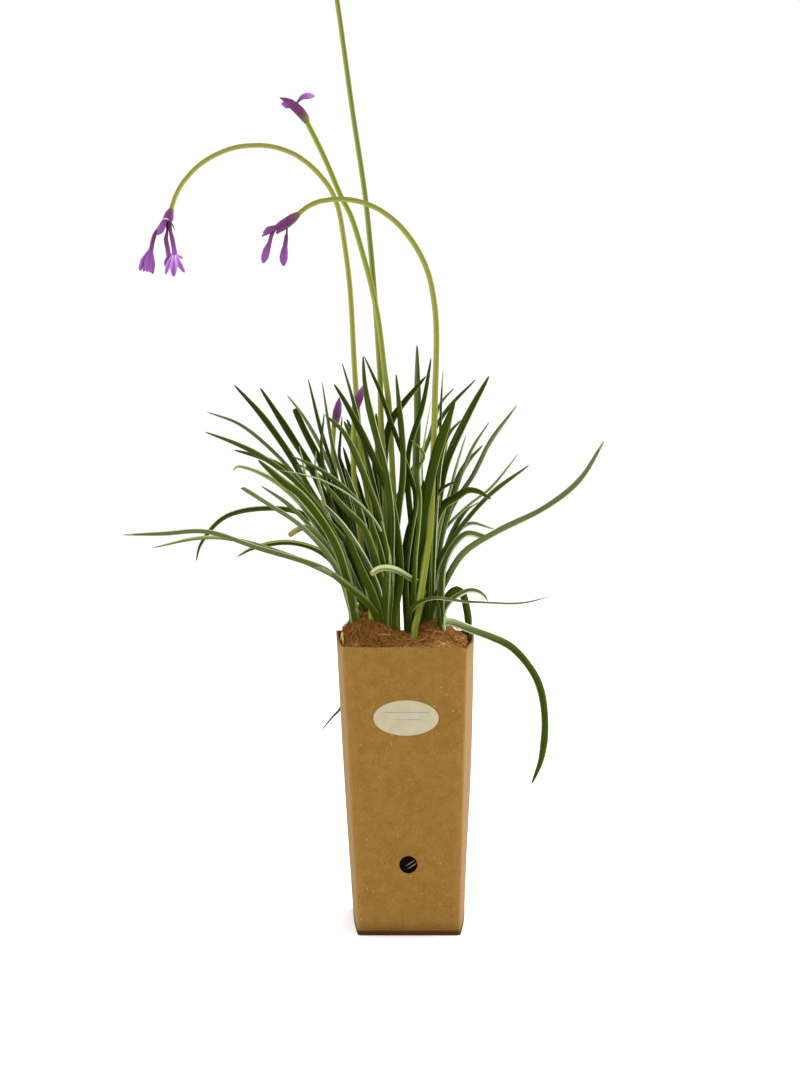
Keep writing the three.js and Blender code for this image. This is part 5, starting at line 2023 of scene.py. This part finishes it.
HEADS = (
    Head("head_b", "stalk_b", (
        Rod(((306.5, 122, 1.9), (305, 118.7, 2.9), (300, 112, 3.3), (293, 105.5, 3.1), (286.5, 101, 1.7)),
            (0.22, 0.26, 0.24, 0.3, 0.42), 0.09, 0.8),
        Rod(((292, 103, 2.3), (285, 99.8, 1.6), (279.6, 97.6, 0.3)), (0.28, 0.34, 0.45), 0.12),
        Rod(((291, 104.5, 2.4), (286.5, 105, 2.3), (283, 104, 1.4), (281.2, 104.6, 0.4)),
            (0.35, 0.55, 0.68), 0.12),
        Rod(((295, 106, 0.7), (297.5, 102, 0.7), (299.5, 99.4, 1.0), (302, 97, 1.6), (307, 95.4, 2.2),
            (311, 95.4, 1.9), (315, 96, 0.4)), (0.1, 0.3, 0.66, 0.82, 0.8), 0.08),
    )),
    Head("head_c", "stalk_c", (
        Rod(((171.5, 209, 1.8), (169.5, 214, 3.1), (168.5, 218, 3.6), (167.5, 221.0, 3.3)),
            (0.22, 0.3, 0.36, 0.42), 0.07, 0.5),
        Rod(((166, 218, 1.6), (163, 225, 2.4), (160, 231, 2.3), (157.0, 234.8, 0.5)), (0.4, 0.5, 0.62, 0.6),
            0.10, 0.0, 0.001),
        Rod(((164, 219, 0.8), (158, 228, 0.7), (154.5, 235, 1.5), (152.3, 243, 1.5), (150.8, 252, 1.6)),
            (0.02, 0.08, 0.22, 0.3, 0.45), 0.06),
        Rod(((168.5, 219, 1.4), (167, 232, 0.9), (166, 239, 1.6), (167.3, 247, 1.6), (168.8, 256, 1.7)),
            (0.0, 0.02, 0.35, 0.42, 0.6), 0.06, 0.0, -0.001),
        Rod(((169.5, 219, 1.4), (170.5, 231, 1.2), (172.3, 239, 1.6), (173.8, 247, 1.6), (174.8, 254, 1.9)),
            (0.0, 0.2, 0.36, 0.45, 0.7), 0.06, 0.0, 0.001),
        Rod(((163.4, 219.6, 0.3), (165.5, 218.4, 0.6), (168.6, 219.4, 0.3)), (0.9, 1.0, 0.9), 0.05, 0.0,
            0.0036),
        Rod(((171.0, 222.5, 0.5), (173.0, 226.0, 0.4), (174.8, 230.0, 0.2)), (0.1, 0.0, 0.0), 0.05),
    ), (
        Petal((151.0, 249), (139.5, 270.6), 0.0062, 0.001, 20, (0.76, 0.62)),
        Petal((151.2, 249), (147.0, 271.8), 0.0066, 0.004, 10, (0.74, 0.58)),
        Petal((151.4, 249), (152.8, 274.0), 0.0058, 0.002, 30, (0.72, 0.56)),
        Petal((150.8, 252), (150.0, 272.5), 0.0046, -0.003, 20, (0.7, 0.6)),
        Petal((150.7, 252), (143.5, 271.5), 0.0046, -0.004, 20, (0.7, 0.6)),
        Petal((151.2, 252), (153.6, 268.0), 0.0044, -0.001, 50, (0.7, 0.58)),
        Petal((174.0, 254), (173.5, 276.6), 0.0056, 0.005, 8, (0.66, 0.96)),
        Petal((174.6, 254), (184.5, 272.4), 0.0044, 0.002, 30, (0.62, 0.9)),
        Petal((173.0, 254), (165.5, 274.5), 0.0046, 0.000, 35, (0.78, 0.86)),
        Petal((174.8, 254), (183.0, 258.0), 0.0040, -0.002, 40, (0.84, 0.92)),
        Petal((173.0, 254), (166.0, 263.0), 0.0044, -0.004, 30, (0.9, 0.88)),
        Petal((174.4, 254), (180.0, 268.0), 0.0046, -0.005, 20, (0.86, 0.84)),
        Petal((168.8, 255), (167.0, 272.0), 0.0042, -0.003, 20, (0.84, 0.7)),
        Petal((168.6, 255), (164.6, 266.0), 0.0038, -0.001, 40, (0.8, 0.7)),
    )),
    Head("head_d", "stalk_d", (
        Rod(((298.5, 214, 1.9), (294, 217.5, 3.0), (288, 222, 3.4), (282, 227, 3.0), (276.5, 233.5, 0.6)),
            (0.2, 0.26, 0.25, 0.3, 0.36), 0.09, 0.5),
        Rod(((288, 220, 2.2), (281, 223.5, 1.8), (273, 227.5, 0.3)), (0.25, 0.36, 0.5), 0.12, 0.0, 0.001),
        Rod(((278, 227, 1.1), (269, 231, 2.3), (261.7, 236.6, 0.3)), (0.3, 0.42, 0.46), 0.14),
        Rod(((276, 226, 0.8), (268, 229, 1.5), (262.8, 232.4, 0.2)), (0.3, 0.46, 0.5), 0.14, 0.0, -0.001),
        Rod(((276, 228, 0.8), (271.7, 235, 1.3), (269.5, 243, 1.4), (266.8, 250, 2.4), (265.2, 256, 2.6),
            (263.9, 260, 2.0), (263.2, 263, 0.6)), (0.15, 0.34, 0.4, 0.52, 0.6, 0.55), 0.07),
        Rod(((287, 225, 0.6), (286.8, 233, 0.6), (286.3, 237, 1.4), (285.2, 246, 1.6), (284.4, 252, 2.5),
            (283.8, 258, 2.8), (283.6, 262.5, 2.1), (283.7, 266, 0.5)),
            (0.0, 0.1, 0.32, 0.42, 0.5, 0.56, 0.5), 0.07),
    )),
    Head("head_e", "stalk_e", (
        Rod(((334.3, 427, 2.0), (335.5, 420, 2.9), (337, 411, 3.2), (338.5, 403, 2.1), (339.3, 397, 0.3)),
            (0.2, 0.28, 0.30, 0.34, 0.4), 0.08, 0.7),
    )),
    Head("head_f", "stalk_f", (
        Rod(((354.6, 412, 2.1), (355.5, 407, 2.9), (358.5, 398, 3.2), (361.5, 391, 2.1), (364, 384, 0.3)),
            (0.15, 0.24, 0.30, 0.45, 0.9), 0.08, 0.7),
    )),
)


@dataclass(frozen=True)
class RayEnd:
    """What a flower stem of the open head ends in: its length, its radii in millimetres, its tones."""

    past_stem: tuple[float, ...]
    radii: tuple[float, ...]
    tones: tuple[float, ...]


OPEN_TUBE = RayEnd((0.0, 0.002, 0.012), (0.6, 0.6, 1.5, 1.5), (0.0, 0.1, 0.4, 0.6))
CLOSED_BUD = RayEnd((0.0, 0.003, 0.009, 0.014), (0.6, 0.6, 1.4, 2.3, 0.3), (0.0, 0.1, 0.4, 0.6, 0.7))


@dataclass(frozen=True)
class UmbelRay:
    """One flower or bud of the open head: its way out from the stalk's end and how far it is open."""

    around: float
    out: float
    stem: float
    open: float = 0.0


@dataclass
class OpenHead:
    """The head above the photograph's edge: an open umbel round the end of its stalk."""

    name: str
    stalk: Stalk
    rays: tuple[UmbelRay, ...] = (
        UmbelRay(10, 62, 0.015, 62),
        UmbelRay(100, 54, 0.017, 55),
        UmbelRay(190, 68, 0.014, 60),
        UmbelRay(280, 56, 0.016, 58),
        UmbelRay(55, 22, 0.014),
        UmbelRay(200, 16, 0.016),
    )
    ray_start: float = 0.005
    petals: int = 6
    petal_length: float = 0.010
    petal: PetalForm = PetalForm(0.0036, Tip.PETAL, 0.1, (0.86, 0.72))
    tip_curl: float = 1.15
    mouth_radius: float = 0.0011
    petal_root: float = 0.0008

    def build(self, stem: Blank, blade: Blank, material: bpy.types.Material) -> bpy.types.Object:
        """Lay the spathe and every flower and bud of the umbel.

        Args:
            stem: The rod that spathes, stems and buds are copies of.
            blade: The rod that petals are copies of.
            material: The blooms' finish.

        Returns:
            The piece.
        """
        chance = random.Random(self.name)
        bundle = Bundle()
        points = SIGHT.leaned(self.stalk.seen, self.stalk.place[1], self.stalk.lean)
        end = points[0]
        axis = (end - points[1]).normalized()
        side = Vector((0.0, 1.0, 0.0)).cross(axis).normalized()
        spathe = [end + axis * far for far in (-0.004, 0.001, 0.005, 0.009)]
        lay_tube(bundle, stem, spathe, (1.9, 2.9, 3.0, 1.6), (0.25, 0.3, 0.4), chance.random())
        start = end + axis * self.ray_start
        for ray in self.rays:
            beside = side.copy()
            beside.rotate(Matrix.Rotation(math.radians(ray.around), 3, axis))
            out = math.radians(ray.out)
            toward = axis * math.cos(out) + beside * math.sin(out)
            form = OPEN_TUBE if ray.open else CLOSED_BUD
            line = [start, *(start + toward * (ray.stem + far) for far in form.past_stem)]
            lay_tube(bundle, stem, line, form.radii, form.tones, chance.random())
            if ray.open:
                self._flower(bundle, blade, line[-1], toward, ray.open, chance)
        return bundle.made(f"{self.name}_bloom", material, [self.name])

    def _flower(
        self, bundle: Bundle, blade: Blank, mouth: Vector, axis: Vector, spread: float, chance: random.Random
    ) -> None:
        """Lay the petals of an open flower.

        Args:
            bundle: The head's bundle.
            blade: The rod that they are copies of.
            mouth: The end of the flower's tube.
            axis: The way that the tube points.
            spread: How far the petals lean out, in degrees.
            chance: The head's own randomness.
        """
        start = Vector((0.3, 1.0, 0.2)).cross(axis).normalized()
        for index in range(self.petals):
            out = start.copy()
            out.rotate(Matrix.Rotation(index * 2 * math.pi / self.petals, 3, axis))
            lean = math.radians(spread + (index % 2) * 6)
            points = []
            for share, more in ((1.0, self.tip_curl), (0.5, 1.0), (0.0, 1.0)):
                far = self.petal_length * share
                ahead = axis * (far * math.cos(lean * more) - self.petal_root)
                beside = out * (far * math.sin(lean * more) + self.mouth_radius)
                points.append(mouth + ahead + beside)
            sideways = np.array(out.cross(axis))
            lay_petal(bundle, blade, Way(points), self.petal, chance.random(), 0.0, sideways)


# Studio


@dataclass(frozen=True)
class SoftLight:
    """A square soft light: where it hangs, the length of its side and its power in watts."""

    name: str
    place: tuple[float, float, float]
    side: float
    watts: float


@dataclass
class Studio:
    """The plain floor, the soft lights and the photograph's camera."""

    floor_reach: float = 6.0
    sky: float = 1.03
    aim: tuple[float, float, float] = (0.0, 0.0, 0.28)
    lights: tuple[SoftLight, ...] = (
        SoftLight("key_light", (-0.7, -1.2, 2.2), 1.2, 14.0),
        SoftLight("left_light", (-1.7, 0.4, 0.9), 1.2, 12.0),
        SoftLight("right_light", (1.7, 0.3, 1.0), 1.2, 36.0),
        SoftLight("back_light", (0.3, 1.6, 1.8), 1.4, 10.0),
    )

    def build(self) -> None:
        """Set up everything round the plant."""
        select_only(None)
        bpy.ops.mesh.primitive_plane_add(size=self.floor_reach * 2, location=(0.0, 0.0, 0.0))
        floor = bpy.context.active_object
        floor.name = "studio_floor"
        floor.data.materials.append(FloorFinish().make())
        for light in self.lights:
            self._hang(light)
        self._sky()
        self._camera()

    def _hang(self, light: SoftLight) -> None:
        """Hang a light that points at the plant.

        Args:
            light: The light.
        """
        lamp = bpy.data.lights.new(light.name, "AREA")
        lamp.size = light.side
        lamp.energy = light.watts
        hung = bpy.data.objects.new(light.name, lamp)
        hung.location = light.place
        toward = Vector(self.aim) - Vector(light.place)
        hung.rotation_euler = toward.to_track_quat("-Z", "Y").to_euler()
        bpy.context.scene.collection.objects.link(hung)

    def _sky(self) -> None:
        """Surround the plant with even white light."""
        world = bpy.data.worlds.new("studio_sky")
        world.use_nodes = True
        background = world.node_tree.nodes["Background"]
        background.inputs["Color"].default_value = (1.0, 1.0, 1.0, 1.0)
        background.inputs["Strength"].default_value = self.sky
        bpy.context.scene.world = world
        bpy.context.scene.view_settings.view_transform = "Standard"

    def _camera(self) -> None:
        """Stand the camera where the photograph was taken."""
        lens = bpy.data.cameras.new("camera")
        lens.lens = SIGHT.lens
        lens.sensor_width = SIGHT.sensor
        camera = bpy.data.objects.new("camera", lens)
        camera.location = SIGHT.eye
        camera.rotation_euler = (math.pi / 2 - SIGHT.pitch, 0.0, 0.0)
        bpy.context.scene.collection.objects.link(camera)
        bpy.context.scene.camera = camera


def finish_node(node: bpy.types.Object, material: bpy.types.Material) -> None:
    """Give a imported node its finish.

    Args:
        node: The node's object.
        material: The finish.
    """
    node.data.materials.clear()
    node.data.materials.append(material)
    LOG.info("%s: finished in %s", node.name, material.name)


def main() -> None:
    """Build the potted plant from the pot up."""
    logging.basicConfig(level=logging.INFO, format="%(name)s %(message)s")
    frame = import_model()
    Studio().build()
    shape = PotShape()
    Carton(shape).build()
    Label(shape).build()
    finish_node(frame["nodes"]["inner_pot"], PlasticFinish().make())
    finish_node(frame["nodes"]["compost"], SoilFinish().make())
    CoirMulch(shape).build()
    blade, stem, rod, petal = Blank(12, 44), Blank(14, 20), Blank(12, 110), Blank(10, 16)
    leaf = LeafFinish().make()
    for shoot in SHOOTS:
        shoot.build(blade, stem, leaf)
    green = StalkFinish().make()
    for stalk in STALKS:
        stalk.build(rod, green)
    bloom = BloomFinish().make()
    stalks = {stalk.name: stalk for stalk in STALKS}
    OpenHead("head_a", stalks["stalk_a"]).build(stem, petal, bloom)
    for head in HEADS:
        head.build(stem, petal, stalks[head.stalk].top_depth(), bloom)


if __name__ == "__main__":
    main()
